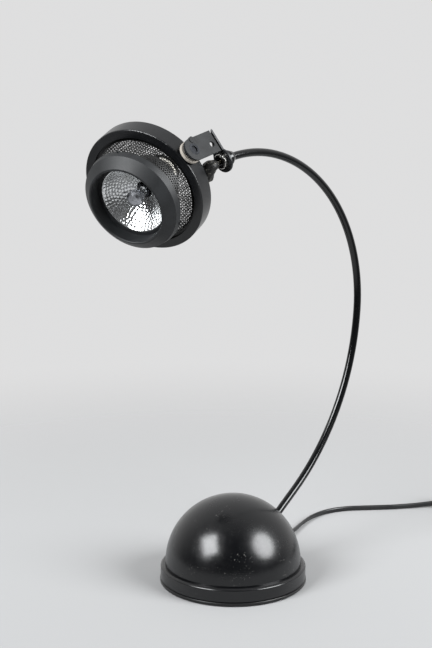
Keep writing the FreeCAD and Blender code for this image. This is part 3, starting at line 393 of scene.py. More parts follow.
for name, key in {
    "felt_pad": "felt", "base_plate": "plate", "base_ring": "ring", "dome_shell": "gloss", "dome_posts": "zinc", "base_screws": "zinc",
    "transformer_pad": "rubber", "transformer": "winding", "transformer_plate": "zinc", "transformer_bolt": "zinc", "transformer_nut": "zinc",
    "terminal_block": "white", "terminal_screws": "brass", "cord_clamp": "plastic", "inner_lead": "cord", "strain_relief": "rubber",
    "stem_tube": "stem", "stem_lead": "sleeve", "stem_washer": "zinc", "stem_nut": "zinc", "end_bush": "stem", "rear_washer": "stem",
    "ring_nut": "dull", "switch_base": "plastic", "switch_cover": "plastic", "switch_rocker": "plastic", "rocker_pin": "zinc",
    "coil_tie": "plastic", "plug_body": "rubber", "plug_pins": "nickel", "bracket": "bracket", "spring_washer": "dark",
    "friction_washer": "cream", "pivot_boss": "head", "pivot_screw": "dark", "pivot_nut": "dark", "head_ring": "head", "bezel": "bezel",
    "bezel_screws": "dark", "lamp_burner": "quartz", "burner_cap": "cap", "lamp_base": "dark", "lampholder": "ceramic",
    "inner_cup": "cup", "lamp_spring": "cup",
}.items():
    finish_node(name, key)


# ---------------------------------------------------------------------------
# mesh helpers
# ---------------------------------------------------------------------------
def mesh_object(name, verts, faces, material, smooth=True):
    me = bpy.data.meshes.new(name)
    me.from_pydata([tuple(v) for v in verts], [], faces)
    me.validate()
    me.update()
    o = bpy.data.objects.new(name, me)
    scene.collection.objects.link(o)
    me.materials.append(material)
    if smooth:
        me.polygons.foreach_set("use_smooth", [True] * len(me.polygons))
    return o


def spline_curve(name, points):
    """A NURBS line with those control points, in metres."""
    cu = bpy.data.curves.new(name, "CURVE")
    cu.dimensions = "3D"
    sp = cu.splines.new("NURBS")
    sp.points.add(len(points) - 1)
    for p, q in zip(sp.points, points):
        p.co = (q[0], q[1], q[2], 1.0)
    sp.order_u = 3
    sp.use_endpoint_u = True
    sp.resolution_u = 8
    o = bpy.data.objects.new(name, cu)
    scene.collection.objects.link(o)
    return o


def line_of(curve_object):
    """The points that a curve with no bevel runs through."""
    bpy.context.view_layer.update()
    me = bpy.data.meshes.new_from_object(curve_object)
    pts = [v.co.copy() for v in me.vertices]
    bpy.data.meshes.remove(me)
    clean = [pts[0]]
    for p in pts[1:]:
        if (p - clean[-1]).length > 2e-5:
            clean.append(p)
    return clean


def respaced(pts, step):
    """The same line with its points evenly spaced."""
    total = sum((b - a).length for a, b in zip(pts, pts[1:]))
    n = max(2, int(round(total / step)))
    step = total / n
    out, want, run = [pts[0].copy()], step, 0.0
    for a, b in zip(pts, pts[1:]):
        seg = (b - a).length
        while run + seg >= want - 1e-12 and len(out) < n:
            out.append(a.lerp(b, (want - run) / seg))
            want += step
        run += seg
    out.append(pts[-1].copy())
    return out


def length_of(pts):
    return sum((b - a).length for a, b in zip(pts, pts[1:]))


def stadium(width, thick, n=10):
    """Section of a flat oval lead: width along the first axis, thickness along the second."""
    r = thick / 2
    half = width / 2 - r
    out = []
    for k in range(n + 1):
        a = -math.pi / 2 + math.pi * k / n
        out.append((half + r * math.cos(a), r * math.sin(a)))
    for k in range(n + 1):
        a = math.pi / 2 + math.pi * k / n
        out.append((-half + r * math.cos(a), r * math.sin(a)))
    return out


def flat_tube(name, pts, section_at, wide_at, material):
    """A closed tube along pts; wide_at(i, tangent) gives the way that its width lies."""
    verts, faces = [], []
    m = None
    for i, p in enumerate(pts):
        t = (pts[min(i + 1, len(pts) - 1)] - pts[max(i - 1, 0)]).normalized()
        w = wide_at(i, t)
        w = (w - t * w.dot(t)).normalized()
        h = t.cross(w)
        sec = section_at(i)
        m = len(sec)
        for a, b in sec:
            verts.append(p + w * a + h * b)
    for i in range(len(pts) - 1):
        for k in range(m):
            a, b = i * m + k, i * m + (k + 1) % m
            faces.append((a, b, b + m, a + m))
    faces.append(tuple(reversed(range(m))))
    faces.append(tuple(range((len(pts) - 1) * m, len(pts) * m)))
    return mesh_object(name, verts, faces, material)


# ---------------------------------------------------------------------------
# mains cord: flat two-core lead, on edge where it runs off across the floor
# ---------------------------------------------------------------------------
WIDE, THIN = 5.8 * MM, 3.6 * MM
CORD_DIR = Vector((math.cos(math.radians(19.0)), math.sin(math.radians(19.0)), 0.0))
EXIT = CORD_DIR * 0.09802 + Vector((0, 0, 0.011))


def mains_route():
    """Control points: out of the base, through the switch, round the coil and on to the plug."""
    pts = [EXIT, CORD_DIR * 0.116 + Vector((0, 0, 0.0106))]
    for q in [(63.5, 124.0, 4.2), (72.5, 143.0, 3.0), (81.5, 164.0, 2.95), (93.5, 185.5, 2.95), (110.5, 203.5, 2.95),
              (133.0, 215.0, 2.95), (160.0, 218.0, 2.95), (192.0, 220.5, 2.95), (222.0, 226.0, 3.4), (251.95, 229.0, 6.2),
              (268.0, 229.0, 6.2), (298.0, 229.0, 6.2),
              (314.05, 229.0, 6.2), (329.0, 228.0, 4.4), (342.0, 220.0, 3.0), (347.5, 205.0, 2.95), (345.5, 189.0, 2.95)]:
        pts.append(floor_point(*q))
    # the coil, on edge: three turns inwards on the floor, three back outwards on top of them
    cx, cy, per = 300.0, 163.0, 16
    rng = random.Random(5)
    turns = [(41.0 - 4.0 * k / per, 2.95) for k in range(0, 3 * per + 1)]
    turns += [(29.0 + 4.0 * k / per, 2.95 + 5.95 * min(1.0, k / 5.0)) for k in range(1, 3 * per + 2)]
    for k, (r, z) in enumerate(turns):
        a = math.radians(6.0) - 2 * math.pi * k / per
        r = (r + rng.uniform(-0.12, 0.12)) / 0.983
        pts.append(floor_point(cx + r * math.cos(a), cy + r * math.sin(a), z + (rng.uniform(0.0, 0.12) if z > 3 else 0.0)))
    for q in [(342.6, 139.5, 6.6), (343.6, 129.0, 6.4), (343.2, 122.0, 7.0), (343.0, 118.05, 7.0)]:
        pts.append(floor_point(*q))
    return pts


guide = spline_curve("cord_guide", mains_route())
CORD_LINE = respaced(line_of(guide), 0.0022)
bpy.data.objects.remove(guide)
CORD_LENGTH = length_of(CORD_LINE)
CORD_STEP = CORD_LENGTH / (len(CORD_LINE) - 1)


def ease(x):
    x = max(0.0, min(1.0, x))
    return x * x * (3 - 2 * x)


def cord_wide(i, t):
    """Its width lies flat at the base and at the plug, and stands on edge in between."""
    s = i * CORD_STEP
    turn = math.pi / 2 * ease((s - 0.012) / 0.150) * (1.0 - ease((s - (CORD_LENGTH - 0.050)) / 0.040))
    flat = t.cross(Vector((0, 0, 1))).normalized()
    return flat * math.cos(turn) + Vector((0, 0, 1)) * math.sin(turn)


SECTION = stadium(WIDE, THIN)
mains = flat_tube("mains_cord", CORD_LINE, lambda i: SECTION, cord_wide, M["cord"])
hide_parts("cord_lead", "cord_tail", "cord_coil", "cord_end")
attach(mains, "base")
print("mains cord", round(CORD_LENGTH, 4), "m")


def coil_strap():
    """A flat tie pulled round the coil's turns, with its lock on the outside."""
    prof = []
    r0, r1, z0, z1, c = 26.6, 43.3, 0.0, 12.3, 1.6
    for cx_, cz_, a_ in ((r1 - c, z1 - c, 0), (r0 + c, z1 - c, 90), (r0 + c, z0 + c, 180), (r1 - c, z0 + c, 270)):
        for k in range(7):
            a = math.radians(a_ + 15 * k)
            prof.append((cx_ + c * math.cos(a), cz_ + c * math.sin(a), math.cos(a), math.sin(a)))
    verts, faces = [], []
    n = len(prof)
    for x, z, nx, nz in prof:
        for off, y in ((0.0, -2.3), (0.0, 2.3), (0.8, 2.3), (0.8, -2.3)):
            verts.append((x + nx * off, y, max(0.02, z + nz * off)))
    for i in range(n):
        j = (i + 1) % n
        for k in range(4):
            faces.append((i * 4 + k, i * 4 + (k + 1) % 4, j * 4 + (k + 1) % 4, j * 4 + k))
    base = len(verts)
    # the lock: a small tapered block
    for (x0, x1), (y0, y1), (zz0, zz1) in (((43.6, 47.2), (-3.4, 3.4), (5.2, 10.6)),):
        for x in (x0, x1):
            f = 0.0 if x == x0 else 0.5
            for y, z in ((y0 + f, zz0 + f), (y1 - f, zz0 + f), (y1 - f, zz1 - f), (y0 + f, zz1 - f)):
                verts.append((x, y, z))
    b = base
    faces += [(b, b + 1, b + 2, b + 3), (b + 7, b + 6, b + 5, b + 4), (b, b + 4, b + 5, b + 1), (b + 1, b + 5, b + 6, b + 2), (b + 2, b + 6, b + 7, b + 3), (b + 3, b + 7, b + 4, b)]
    ang = math.radians(200.0)
    out = []
    for x, y, z in verts:
        px, py = x * math.cos(ang) - y * math.sin(ang), x * math.sin(ang) + y * math.cos(ang)
        out.append(floor_point(300.0 + px, 163.0 + py, z))
    o = mesh_object("cord_strap", out, faces, M["plastic"], smooth=False)
    bm = bmesh.new()
    bm.from_mesh(o.data)
    bmesh.ops.recalc_face_normals(bm, faces=bm.faces[:])
    bm.to_mesh(o.data)
    bm.free()
    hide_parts("coil_tie")
    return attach(o, "base")


strap = coil_strap()
[tuple(p) for p in CORD_LINE]


# ---------------------------------------------------------------------------
# floor and light
# ---------------------------------------------------------------------------
def stage_floor():
    me = bpy.data.meshes.new("floor")
    R, n = 9.0, 96
    me.from_pydata([(R * math.cos(2 * math.pi * k / n), R * math.sin(2 * math.pi * k / n), 0.0) for k in range(n)], [], [tuple(range(n))])
    o = bpy.data.objects.new("floor", me)
    scene.collection.objects.link(o)
    m = bpy.data.materials.new("floor_paper")
    m.use_nodes = True
    nt = m.node_tree
    nt.nodes.clear()
    out = nt.nodes.new("ShaderNodeOutputMaterial")
    diffuse = nt.nodes.new("ShaderNodeBsdfDiffuse")
    diffuse.inputs["Color"].default_value = (FLOOR, FLOOR, FLOOR * 1.005, 1)
    clear = nt.nodes.new("ShaderNodeBsdfTransparent")
    coord = nt.nodes.new("ShaderNodeTexCoord")
    dist = nt.nodes.new("ShaderNodeVectorMath")
    dist.operation = "LENGTH"
    fade = nt.nodes.new("ShaderNodeMapRange")
    fade.interpolation_type = "SMOOTHSTEP"
    fade.inputs["From Min"].default_value = 0.25
    fade.inputs["From Max"].default_value = 1.05
    mix = nt.nodes.new("ShaderNodeMixShader")
    # painted shade: the paper's colour falls from 1.03 to 0.78 of FLOOR towards the eye, darker in front of the lamp
    near = nt.nodes.new("ShaderNodeVectorMath")
    near.operation = "DOT_PRODUCT"
    near.inputs[1].default_value = floor_point(0.0, -1000.0, 0.0)
    front_shade_ramp = nt.nodes.new("ShaderNodeMapRange")
    front_shade_ramp.interpolation_type = "SMOOTHSTEP"
    front_shade_ramp.inputs["From Min"].default_value = -0.45
    front_shade_ramp.inputs["From Max"].default_value = 0.62
    blend = nt.nodes.new("ShaderNodeMix")
    blend.data_type = "RGBA"
    blend.inputs[6].default_value = (FLOOR * 1.03, FLOOR * 1.03, FLOOR * 1.035, 1)
    blend.inputs[7].default_value = (FLOOR * 0.78, FLOOR * 0.78, FLOOR * 0.785, 1)
    nt.links.new(coord.outputs["Object"], near.inputs[0])
    nt.links.new(near.outputs["Value"], front_shade_ramp.inputs["Value"])
    nt.links.new(front_shade_ramp.outputs["Result"], blend.inputs[0])
    nt.links.new(blend.outputs[2], diffuse.inputs["Color"])
    nt.links.new(coord.outputs["Object"], dist.inputs[0])
    nt.links.new(dist.outputs["Value"], fade.inputs["Value"])
    nt.links.new(fade.outputs["Result"], mix.inputs[0])
    nt.links.new(diffuse.outputs[0], mix.inputs[1])
    nt.links.new(clear.outputs[0], mix.inputs[2])
    nt.links.new(mix.outputs[0], out.inputs[0])
    me.materials.append(m)


FLOOR = 0.39
stage_floor()


def eye_dir(x, y, z):
    """A direction given across, away from and above the eye."""
    return Vector((x * CA + y * SA, -x * SA + y * CA, z)).normalized()


def softbox(name, direction, distance, size, watts, roll=0.0, aim=Vector((0, 0, 0.20)), shape="RECTANGLE", colour=(1, 1, 1), spread=180.0):
    light = bpy.data.lights.new(name, "AREA")
    light.shape = shape
    light.size, light.size_y = size
    light.energy = watts
    light.color = colour
    light.spread = math.radians(spread)
    o = bpy.data.objects.new(name, light)
    scene.collection.objects.link(o)
    at = direction * distance
    o.location = at
    q = (aim - at).to_track_quat("-Z", "Y").to_matrix().to_4x4()
    o.rotation_euler = (q @ Matrix.Rotation(math.radians(roll), 4, "Z")).to_euler()
    return o


softbox("left_box", eye_dir(-0.618, -0.48, 0.623), 2.45, (1.05, 1.35), 76.0, roll=38.0, colour=(0.965, 0.985, 1.0))
softbox("right_round", eye_dir(0.752, -0.356, 0.555), 2.45, (1.62, 1.62), 94.0, shape="DISK", colour=(0.965, 0.985, 1.0))


def world():
    """Pale all round and above, with the dim side of the room behind the eye."""
    w = bpy.data.worlds.new("studio")
    scene.world = w
    w.use_nodes = True
    nt = w.node_tree
    nt.nodes.clear()
    out = nt.nodes.new("ShaderNodeOutputWorld")
    seen = nt.nodes.new("ShaderNodeBackground")
    seen.inputs[0].default_value = (0.735, 0.735, 0.738, 1)
    lit = nt.nodes.new("ShaderNodeBackground")
    coord = nt.nodes.new("ShaderNodeTexCoord")
    dot = nt.nodes.new("ShaderNodeVectorMath")
    dot.operation = "DOT_PRODUCT"
    dot.inputs[1].default_value = eye_dir(0.05, 0.90, 0.32)
    ramp = nt.nodes.new("ShaderNodeMapRange")
    ramp.interpolation_type = "SMOOTHSTEP"
    ramp.inputs["From Min"].default_value = -0.35
    ramp.inputs["From Max"].default_value = 0.80
    ramp.inputs["To Min"].default_value = 0.05
    ramp.inputs["To Max"].default_value = 1.0
    path = nt.nodes.new("ShaderNodeLightPath")
    mix = nt.nodes.new("ShaderNodeMixShader")
    nt.links.new(coord.outputs["Generated"], dot.inputs[0])
    nt.links.new(dot.outputs["Value"], ramp.inputs["Value"])
    nt.links.new(ramp.outputs["Result"], lit.inputs[1])
    nt.links.new(path.outputs["Is Camera Ray"], mix.inputs[0])
    nt.links.new(lit.outputs[0], mix.inputs[1])
    nt.links.new(seen.outputs[0], mix.inputs[2])
    nt.links.new(mix.outputs[0], out.inputs[0])


world()
scene.view_settings.view_transform = "Standard"
scene.view_settings.look = "None"


# ---------------------------------------------------------------------------
# perforated sheet
# ---------------------------------------------------------------------------
def perforated(cells, hole, where, thick, seg):
    """Closed sheet with round holes. cells are hexagon centres and their pitch in the flat pattern; where(u, v, depth)
    places a point of the pattern on either face of the sheet. Neighbouring hexagons share their corners."""
    verts, faces, known = [], [], {}

    def vertex(u, v, side, key):
        k = (key, side)
        if k not in known:
            known[k] = len(verts)
            verts.append(where(u, v, thick * side))
        return known[k]

    for c, (u0, v0, pitch, wrap) in enumerate(cells):
        rim = []
        size = pitch / math.sqrt(3.0)
        for j in range(6):
            a0, a1 = math.radians(30 + 60 * j), math.radians(90 + 60 * j)
            p0 = (u0 + size * math.cos(a0), v0 + size * math.sin(a0))
            p1 = (u0 + size * math.cos(a1), v0 + size * math.sin(a1))
            rim.append(p0)
            rim.append(((p0[0] + p1[0]) / 2, (p0[1] + p1[1]) / 2))
        inner = [(u0 + hole / 2 * math.cos(math.radians(30 + 30 * k)), v0 + hole / 2 * math.sin(math.radians(30 + 30 * k))) for k in range(12)]
        if seg == 6:
            rim, inner = rim[::2], inner[::2]
        n = len(rim)

        def key(q):
            x = q[0] % wrap if wrap else q[0]
            if wrap and wrap - x < 1e-5:
                x = 0.0
            return (round(x / 2e-5), round(q[1] / 2e-5))

        top = [vertex(q[0], q[1], 0, ("r",) + key(q)) for q in rim]
        low_ = [vertex(q[0], q[1], 1, ("r",) + key(q)) for q in rim]
        itop = [vertex(q[0], q[1], 0, (c, k)) for k, q in enumerate(inner)]
        ilow = [vertex(q[0], q[1], 1, (c, k)) for k, q in enumerate(inner)]
        for k in range(n):
            m = (k + 1) % n
            faces.append((top[k], top[m], itop[m], itop[k]))
            faces.append((low_[m], low_[k], ilow[k], ilow[m]))
            faces.append((itop[k], itop[m], ilow[m], ilow[k]))
    # close the sheet's outer edges
    count = {}
    for f in faces:
        for x, y in zip(f, f[1:] + f[:1]):
            count[(x, y)] = count.get((x, y), 0) + 1
    other = {}
    for k, i in known.items():
        other[i] = known.get((k[0], 1 - k[1]))
    side_of = {i: k[1] for k, i in known.items()}
    for (x, y) in list(count):
        if (y, x) not in count and side_of[x] == 0 and side_of[y] == 0:
            faces.append((y, x, other[x], other[y]))
    return verts, faces


def band(profile, name, material, place, n=192):
    """A turned ring with a closed section, profile in millimetres (radius, height)."""
    verts, faces = [], []
    m = len(profile)
    for k in range(n):
        a = 2 * math.pi * k / n
        for r, z in profile:
            verts.append(place @ (Vector((r * math.cos(a), r * math.sin(a), z)) * MM))
    for k in range(n):
        j = (k + 1) % n
        for q in range(m):
            w = (q + 1) % m
            faces.append((k * m + q, j * m + q, j * m + w, k * m + w))
    return verts, faces


def joined(parts):
    verts, faces = [], []
    for v, f in parts:
        o = len(verts)
        verts += list(v)
        faces += [tuple(i + o for i in q) for q in f]
    return verts, faces


def outward(o, angle=35.0):
    """Consistent outward normals, smooth up to that angle."""
    bm = bmesh.new()
    bm.from_mesh(o.data)
    bmesh.ops.recalc_face_normals(bm, faces=bm.faces[:])
    bm.to_mesh(o.data)
    bm.free()
    o.data.set_sharp_from_angle(angle=math.radians(angle))
    return o


HOLE_PITCH = 2.6


def front_cone():
    """Truncated cone of perforated sheet, with plain hems top and bottom and a flange behind the ring."""
    z0, z1, r0, r1 = -2.6, 19.6, 53.78, 49.27
    rows_step = HOLE_PITCH * math.sqrt(3) / 2
    slant = math.hypot(z1 - z0, r0 - r1)
    rows = int((slant - 0.8) / rows_step)
    mean = (r0 + r1) / 2
    around = int(round(2 * math.pi * mean / HOLE_PITCH))
    around += around % 2
    wrap = around * HOLE_PITCH
    cells = []
    start = (slant - (rows - 1) * rows_step) / 2
    for j in range(rows):
        for i in range(around):
            cells.append((i * HOLE_PITCH + (HOLE_PITCH / 2 if j % 2 else 0.0) + 1e-4, start + j * rows_step, HOLE_PITCH, wrap))

    def where(u, v, depth):
        t = v / slant
        r = r0 + (r1 - r0) * t - depth
        z = z0 + (z1 - z0) * t
        a = 2 * math.pi * u / wrap
        return HEAD @ (Vector((r * math.cos(a), r * math.sin(a), z)) * MM)

    sheet_part = perforated(cells, 2.08, where, 0.28, 12)
    low_hem = band([(54.0, -3.4), (53.75, -1.2), (53.05, -1.2), (53.1, -3.9), (63.5, -3.9), (63.5, -3.3), (54.6, -3.3)], "hem", None, HEAD)
    top_hem = band([(49.28, 19.2), (49.1, 20.4), (48.4, 20.4), (48.62, 17.9), (49.5, 17.9)], "hem", None, HEAD)
    v, f = joined([sheet_part, low_hem, top_hem])
    o = outward(mesh_object("perforated_cone", v, f, M["mesh"]))
    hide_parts("front_mesh")
    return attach(o, "head")


front_cone()

DISH_R, DISH_SAG, DISH_Z = 63.6, 26.0, -18.1
DISH_S = (DISH_R ** 2 + DISH_SAG ** 2) / (2 * DISH_SAG)


def dish_z(r):
    return DISH_Z - DISH_SAG + DISH_S - math.sqrt(DISH_S ** 2 - r * r)


def rear_dish():
    """Shallow dish of the same sheet, in a rolled rim, with a plain collar round the lampholder's hole."""
    pitch = 2.8
    step = pitch * math.sqrt(3) / 2
    cells = []
    n = int(DISH_R / step) + 1
    for j in range(-n, n + 1):
        for i in range(-n, n + 1):
            u, v = i * pitch + (pitch / 2 if j % 2 else 0.0), j * step
            r = math.hypot(u, v)
            if 15.4 + pitch * 0.6 < r < DISH_R - 1.6 - pitch * 0.6:
                cells.append((u, v, pitch, 0))

    def where(u, v, depth):
        r = math.hypot(u, v)
        return HEAD @ (Vector((u, v, dish_z(r) + depth)) * MM)

    sheet_part = perforated(cells, 2.28, where, 0.3, 6)
    rim, k = [], 5
    for q in range(k + 1):
        r = 63.5 - 3.6 * q / k
        rim.append((r, dish_z(r) - 0.08))
    rim += [(r, z + 0.8) for r, z in reversed(rim)]
    rim = [(63.6, -14.1)] + rim[:-1] + [(62.9, dish_z(62.9) + 0.85), (62.9, -14.1)]
    collar = []
    for q in range(k + 1):
        r = 17.6 - 3.6 * q / k
        collar.append((r, dish_z(r) - 0.08))
    collar += [(r, z + 0.85) for r, z in reversed(collar)]
    v, f = joined([sheet_part, band(rim, "rim", None, HEAD), band(collar, "collar", None, HEAD, 96)])
    o = outward(mesh_object("perforated_dish", v, f, M["mesh"]))
    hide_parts("rear_mesh")
    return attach(o, "head")


rear_dish()


# ---------------------------------------------------------------------------
# the lamp's dimpled reflector
# ---------------------------------------------------------------------------
def reflector():
    """Dished bright metal with rings of small domed facets, a rolled rim, and a plain neck."""
    r_in, r_out = 8.0, 33.98
    pitch, deep = 3.4, 23.0

    def height(r):
        return 20.0 - deep + deep * (r / 34.0) ** 2

    # the section's own length, so that the facets keep their size up the steep wall
    table, run, fine = [(0.0, r_in)], 0.0, 800
    for i in range(fine):
        ra, rb = r_in + (r_out - r_in) * i / fine, r_in + (r_out - r_in) * (i + 1) / fine
        run += math.hypot(rb - ra, height(rb) - height(ra))
        table.append((run, rb))
    total = run

    def radius_at(s):
        f = max(0.0, min(1.0, s / total)) * fine
        lo, hi = 0, fine
        while hi - lo > 1:
            mid = (lo + hi) // 2
            if table[mid][0] <= s:
                lo = mid
            else:
                hi = mid
        span = table[hi][0] - table[lo][0]
        return table[lo][1] + (table[hi][1] - table[lo][1]) * max(0.0, min(1.0, (s - table[lo][0]) / span))

    ring_s, by_ring = [], []
    rng = random.Random(31)
    s0, k = 1.6, 0
    while s0 < total - 1.2:
        rr = radius_at(s0)
        count = max(6, int(round(2 * math.pi * rr / pitch)))
        by_ring.append([2 * math.pi * (q + 0.5 * (k % 2) + rng.uniform(-0.16, 0.16)) / count + 0.07 * k for q in range(count)])
        ring_s.append((s0, rr))
        s0 += pitch * 0.88
        k += 1

    def lift(s, r, a):
        best = 9e9
        for (sk, rr), angles in zip(ring_s, by_ring):
            if abs(sk - s) > pitch:
                continue
            n = len(angles)
            k = int(round((a - angles[0]) / (2 * math.pi / n)))
            for q in (k - 1, k, k + 1):
                d = (a - angles[q % n] + math.pi) % (2 * math.pi) - math.pi
                d2 = (sk + 0.28 * math.sin(q * 2.4 + sk) - s) ** 2 + (d * r) ** 2
                if d2 < best:
                    best = d2
        return 0.34 * (1.0 - best / (pitch * 0.6) ** 2) if best < 9e8 else 0.0

    verts, faces = [], []
    nr, na = 168, 672
    for i in range(nr + 1):
        s = total * i / nr
        r = radius_at(s) if 0 < i < nr else (r_in if i == 0 else r_out)
        blend_in = ease((s - 0.3) / 1.0) * (1.0 - ease((s - (total - 1.2)) / 0.8))
        slope = 2.0 * deep * r / 34.0 ** 2
        ln = math.hypot(1.0, slope)
        for j in range(na):
            a = 2 * math.pi * j / na
            up = lift(s, r, a) * blend_in
            q, z = r - up * slope / ln, height(r) + up / ln
            verts.append(HEAD @ (Vector((q * math.cos(a), q * math.sin(a), z)) * MM))
    for i in range(nr):
        for j in range(na):
            k = (j + 1) % na
            faces.append((i * na + j, i * na + k, (i + 1) * na + k, (i + 1) * na + j))
    outer = []
    for q in range(1, 9):
        r = 34.4 - (34.4 - 9.2) * q / 8
        outer.append((r + 0.75, height(r) - 0.75))
    prof = [(33.98, 19.97), (34.7, 20.02), (35.15, 19.6), (35.15, 18.4)] + outer + [(8.0, height(8.0) - 0.6), (8.0, height(8.0))]
    base = len(verts)
    for r, z in prof[1:-1]:
        for j in range(na):
            a = 2 * math.pi * j / na
            verts.append(HEAD @ (Vector((r * math.cos(a), r * math.sin(a), z)) * MM))
    loops = [[nr * na + j for j in range(na)]] + [[base + i * na + j for j in range(na)] for i in range(len(prof) - 2)] + [[j for j in range(na)]]
    for p0, p1 in zip(loops, loops[1:]):
        for j in range(na):
            k = (j + 1) % na
            faces.append((p0[j], p0[k], p1[k], p1[j]))
    o = mesh_object("dimpled_reflector", verts, faces, M["reflector"])
    o.data.materials.append(M["cup"])
    o.data.polygons.foreach_set("material_index", [0 if i < (nr + 2) * na else 1 for i in range(len(o.data.polygons))])
    outward(o, 60.0)
    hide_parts("lamp_reflector")
    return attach(o, "head")


reflector()


# ---------------------------------------------------------------------------
# two sleeved wires from the stem's end to the lampholder
# ---------------------------------------------------------------------------
H1 = HEADCENTRE - AIM * 0.05005
LEAD = [END + ENDDIR * 0.0003, END + ENDDIR * 0.0095, END + Vector((-11.8, 4.8, -12.0)) * MM, END + Vector((-3.0, 17.3, -19.3)) * MM,
        END + Vector((10.5, 34.0, -20.0)) * MM, H1 + Vector((30.0, -20.0, -4.0)) * MM, H1 + Vector((31.0, -3.0, 7.0)) * MM, H1 - AIM * 0.016, H1]


def lamp_leads():
    curve = spline_curve("lead_guide", LEAD)
    line = respaced(line_of(curve), 0.0009)
    bpy.data.objects.remove(curve)
    n = len(line) - 1
    rng = random.Random(11)
    parts = []
    up = Vector((0, 0, 1))
    frames = []
    w = ENDDIR.cross(up).normalized()
    for i, p in enumerate(line):
        t = (line[min(i + 1, n)] - line[max(i - 1, 0)]).normalized()
        w = (w - t * w.dot(t)).normalized()
        frames.append((p, t, w, t.cross(w)))
    for strand in range(2):
        verts, faces = [], []
        m = 24
        for i, (p, t, wv, hv) in enumerate(frames):
            a = 0.6 + strand * math.pi + i * 0.055
            off = 1.14 * MM
            c = p + (wv * math.cos(a) + hv * math.sin(a)) * off
            for k in range(m):
                b = 2 * math.pi * k / m
                braid = 0.045 * math.cos(4 * b + i * 1.1) * math.cos(4 * b - i * 1.1)
                r = (1.06 + braid) * MM
                verts.append(c + (wv * math.cos(b) + hv * math.sin(b)) * r)
        for i in range(len(frames) - 1):
            for k in range(m):
                a_, b_ = i * m + k, i * m + (k + 1) % m
                faces.append((a_, b_, b_ + m, a_ + m))
        faces.append(tuple(reversed(range(m))))
        faces.append(tuple(range((len(frames) - 1) * m, len(frames) * m)))
        parts.append((verts, faces))
    # loose threads of the sleeving where it leaves the stem; they are built here but left out of the mesh below, which
    # takes only the two wires
    for k, (at, d, ln, bend) in enumerate(((END + Vector((-4.0, -1.5, -9.0)) * MM, Vector((0.55, -0.52, -0.35)), 8.0, 1.4),
                                           (END + ENDDIR * 0.006 + Vector((0.0, 0.5, 1.6)) * MM, Vector((-0.2, -0.5, 0.8)), 2.6, 0.6))):
        d = d.normalized()
        side = d.cross(up).normalized()
        verts, faces = [], []
        for i in range(9):
            f = i / 8.0
            c = at + d * ln * f * MM + side * bend * f * f * MM
            for q in range(5):
                b = 2 * math.pi * q / 5
                r = (0.11 - 0.05 * f) * MM
                verts.append(c + (side * math.cos(b) + d.cross(side) * math.sin(b)) * r)
        for i in range(8):
            for q in range(5):
                a_, b_ = i * 5 + q, i * 5 + (q + 1) % 5
                faces.append((a_, b_, b_ + 5, a_ + 5))
        faces.append(tuple(reversed(range(5))))
        faces.append(tuple(range(40, 45)))
        parts.append((verts, faces))
    v, f = joined(parts[:2])
    o = outward(mesh_object("sleeved_wires", v, f, M["sleeve"]))
    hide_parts("lamp_lead")
    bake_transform(o)
    return o, line


leads, lead_line = lamp_leads()


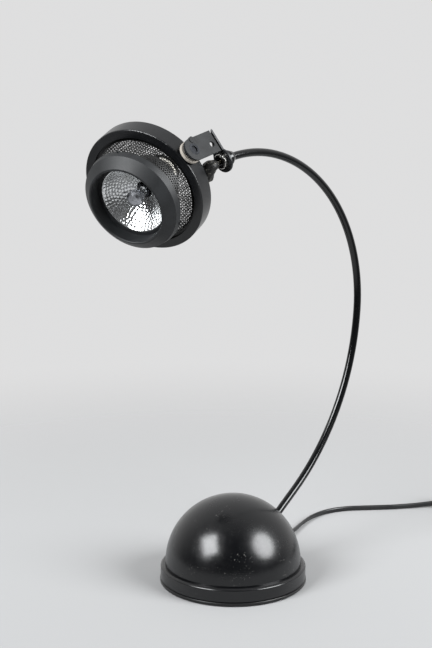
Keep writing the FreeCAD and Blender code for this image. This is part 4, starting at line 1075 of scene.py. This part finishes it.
def loose_sleeve(line):
    """Dark heat sleeving bulging round the wires below the clamp, frayed where it ends."""
    step = length_of(line) / (len(line) - 1)
    i0, i1 = int(0.0060 / step), int(0.0275 / step)
    part_of = line[i0:i1 + 1]
    n = len(part_of) - 1
    rng = random.Random(23)
    m = 56
    verts, faces, light = [], [], []
    w = Vector((0.0, 0.0, 1.0))
    frames = []
    for i, p in enumerate(part_of):
        t = (part_of[min(i + 1, n)] - part_of[max(i - 1, 0)]).normalized()
        w = (w - t * w.dot(t)).normalized()
        frames.append((p, t, w, t.cross(w)))
    shape = [(0.0, 2.7), (0.10, 4.4), (0.28, 6.4), (0.50, 6.9), (0.75, 6.0), (1.0, 4.9)]
    lean = Vector((-1.4, 1.35, 2.6))

    def radius(f):
        for (a, ra), (b, rb) in zip(shape, shape[1:]):
            if f <= b:
                return ra + (rb - ra) * ease((f - a) / (b - a))
        return shape[-1][1]

    for i, (p, t, u, v) in enumerate(frames):
        f = i / n
        for k in range(m):
            b = 2 * math.pi * k / m
            r = radius(f) * (1.0 + 0.035 * math.cos(5 * b + 7 * f) + 0.025 * math.cos(9 * b - 11 * f) + (0.03 if k % 2 else 0.0))
            push = (0.55 if (k // 2) % 2 else -0.45) * ease((f - 0.86) / 0.14)
            over = lean * (math.sin(math.pi * min(1.0, f / 0.92)) * MM)
            verts.append(p + over + (u * math.cos(b) + v * math.sin(b)) * (r * MM) + t * (push * MM))
    for i in range(n):
        for k in range(m):
            a, b = i * m + k, i * m + (k + 1) % m
            faces.append((a, b, b + m, a + m))
    faces.append(tuple(reversed(range(m))))
    faces.append(tuple(range(n * m, (n + 1) * m)))
    light += [0] * len(faces)
    p, t, u, v = frames[-1]
    for k in range(40):
        b = 2 * math.pi * (k + rng.uniform(-0.3, 0.3)) / 40
        side = u * math.cos(b) + v * math.sin(b)
        at = p + side * ((4.7 - rng.uniform(0.0, 0.5)) * MM) - t * 0.0008
        d = (t + side * rng.uniform(-0.15, 0.30) + t.cross(side) * rng.uniform(-0.35, 0.35)).normalized()
        ln, bend = rng.uniform(1.6, 4.2), rng.uniform(-0.9, 0.9)
        across = d.cross(side).normalized()
        base = len(verts)
        for i in range(7):
            f = i / 6.0
            c = at + d * (ln * f * MM) + across * (bend * f * f * MM)
            for q in range(5):
                g = 2 * math.pi * q / 5
                verts.append(c + (across * math.cos(g) + d.cross(across) * math.sin(g)) * ((0.24 - 0.14 * f) * MM))
        for i in range(6):
            for q in range(5):
                a, c2 = base + i * 5 + q, base + i * 5 + (q + 1) % 5
                faces.append((a, c2, c2 + 5, a + 5))
        faces.append(tuple(reversed(range(base, base + 5))))
        faces.append(tuple(range(base + 30, base + 35)))
        light += [1] * 32
    o = mesh_object("loose_sleeve", verts, faces, M["wrap"], smooth=True)
    o.data.materials.append(M["thread"])
    o.data.polygons.foreach_set("material_index", light)
    outward(o, 50.0)
    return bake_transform(o)


loose_sleeve(lead_line)
print("lamp lead", round(length_of(lead_line), 4), "m")
tuple(lead_line[0])
round(length_of(lead_line), 3)
[tuple(p) for p in lead_line]
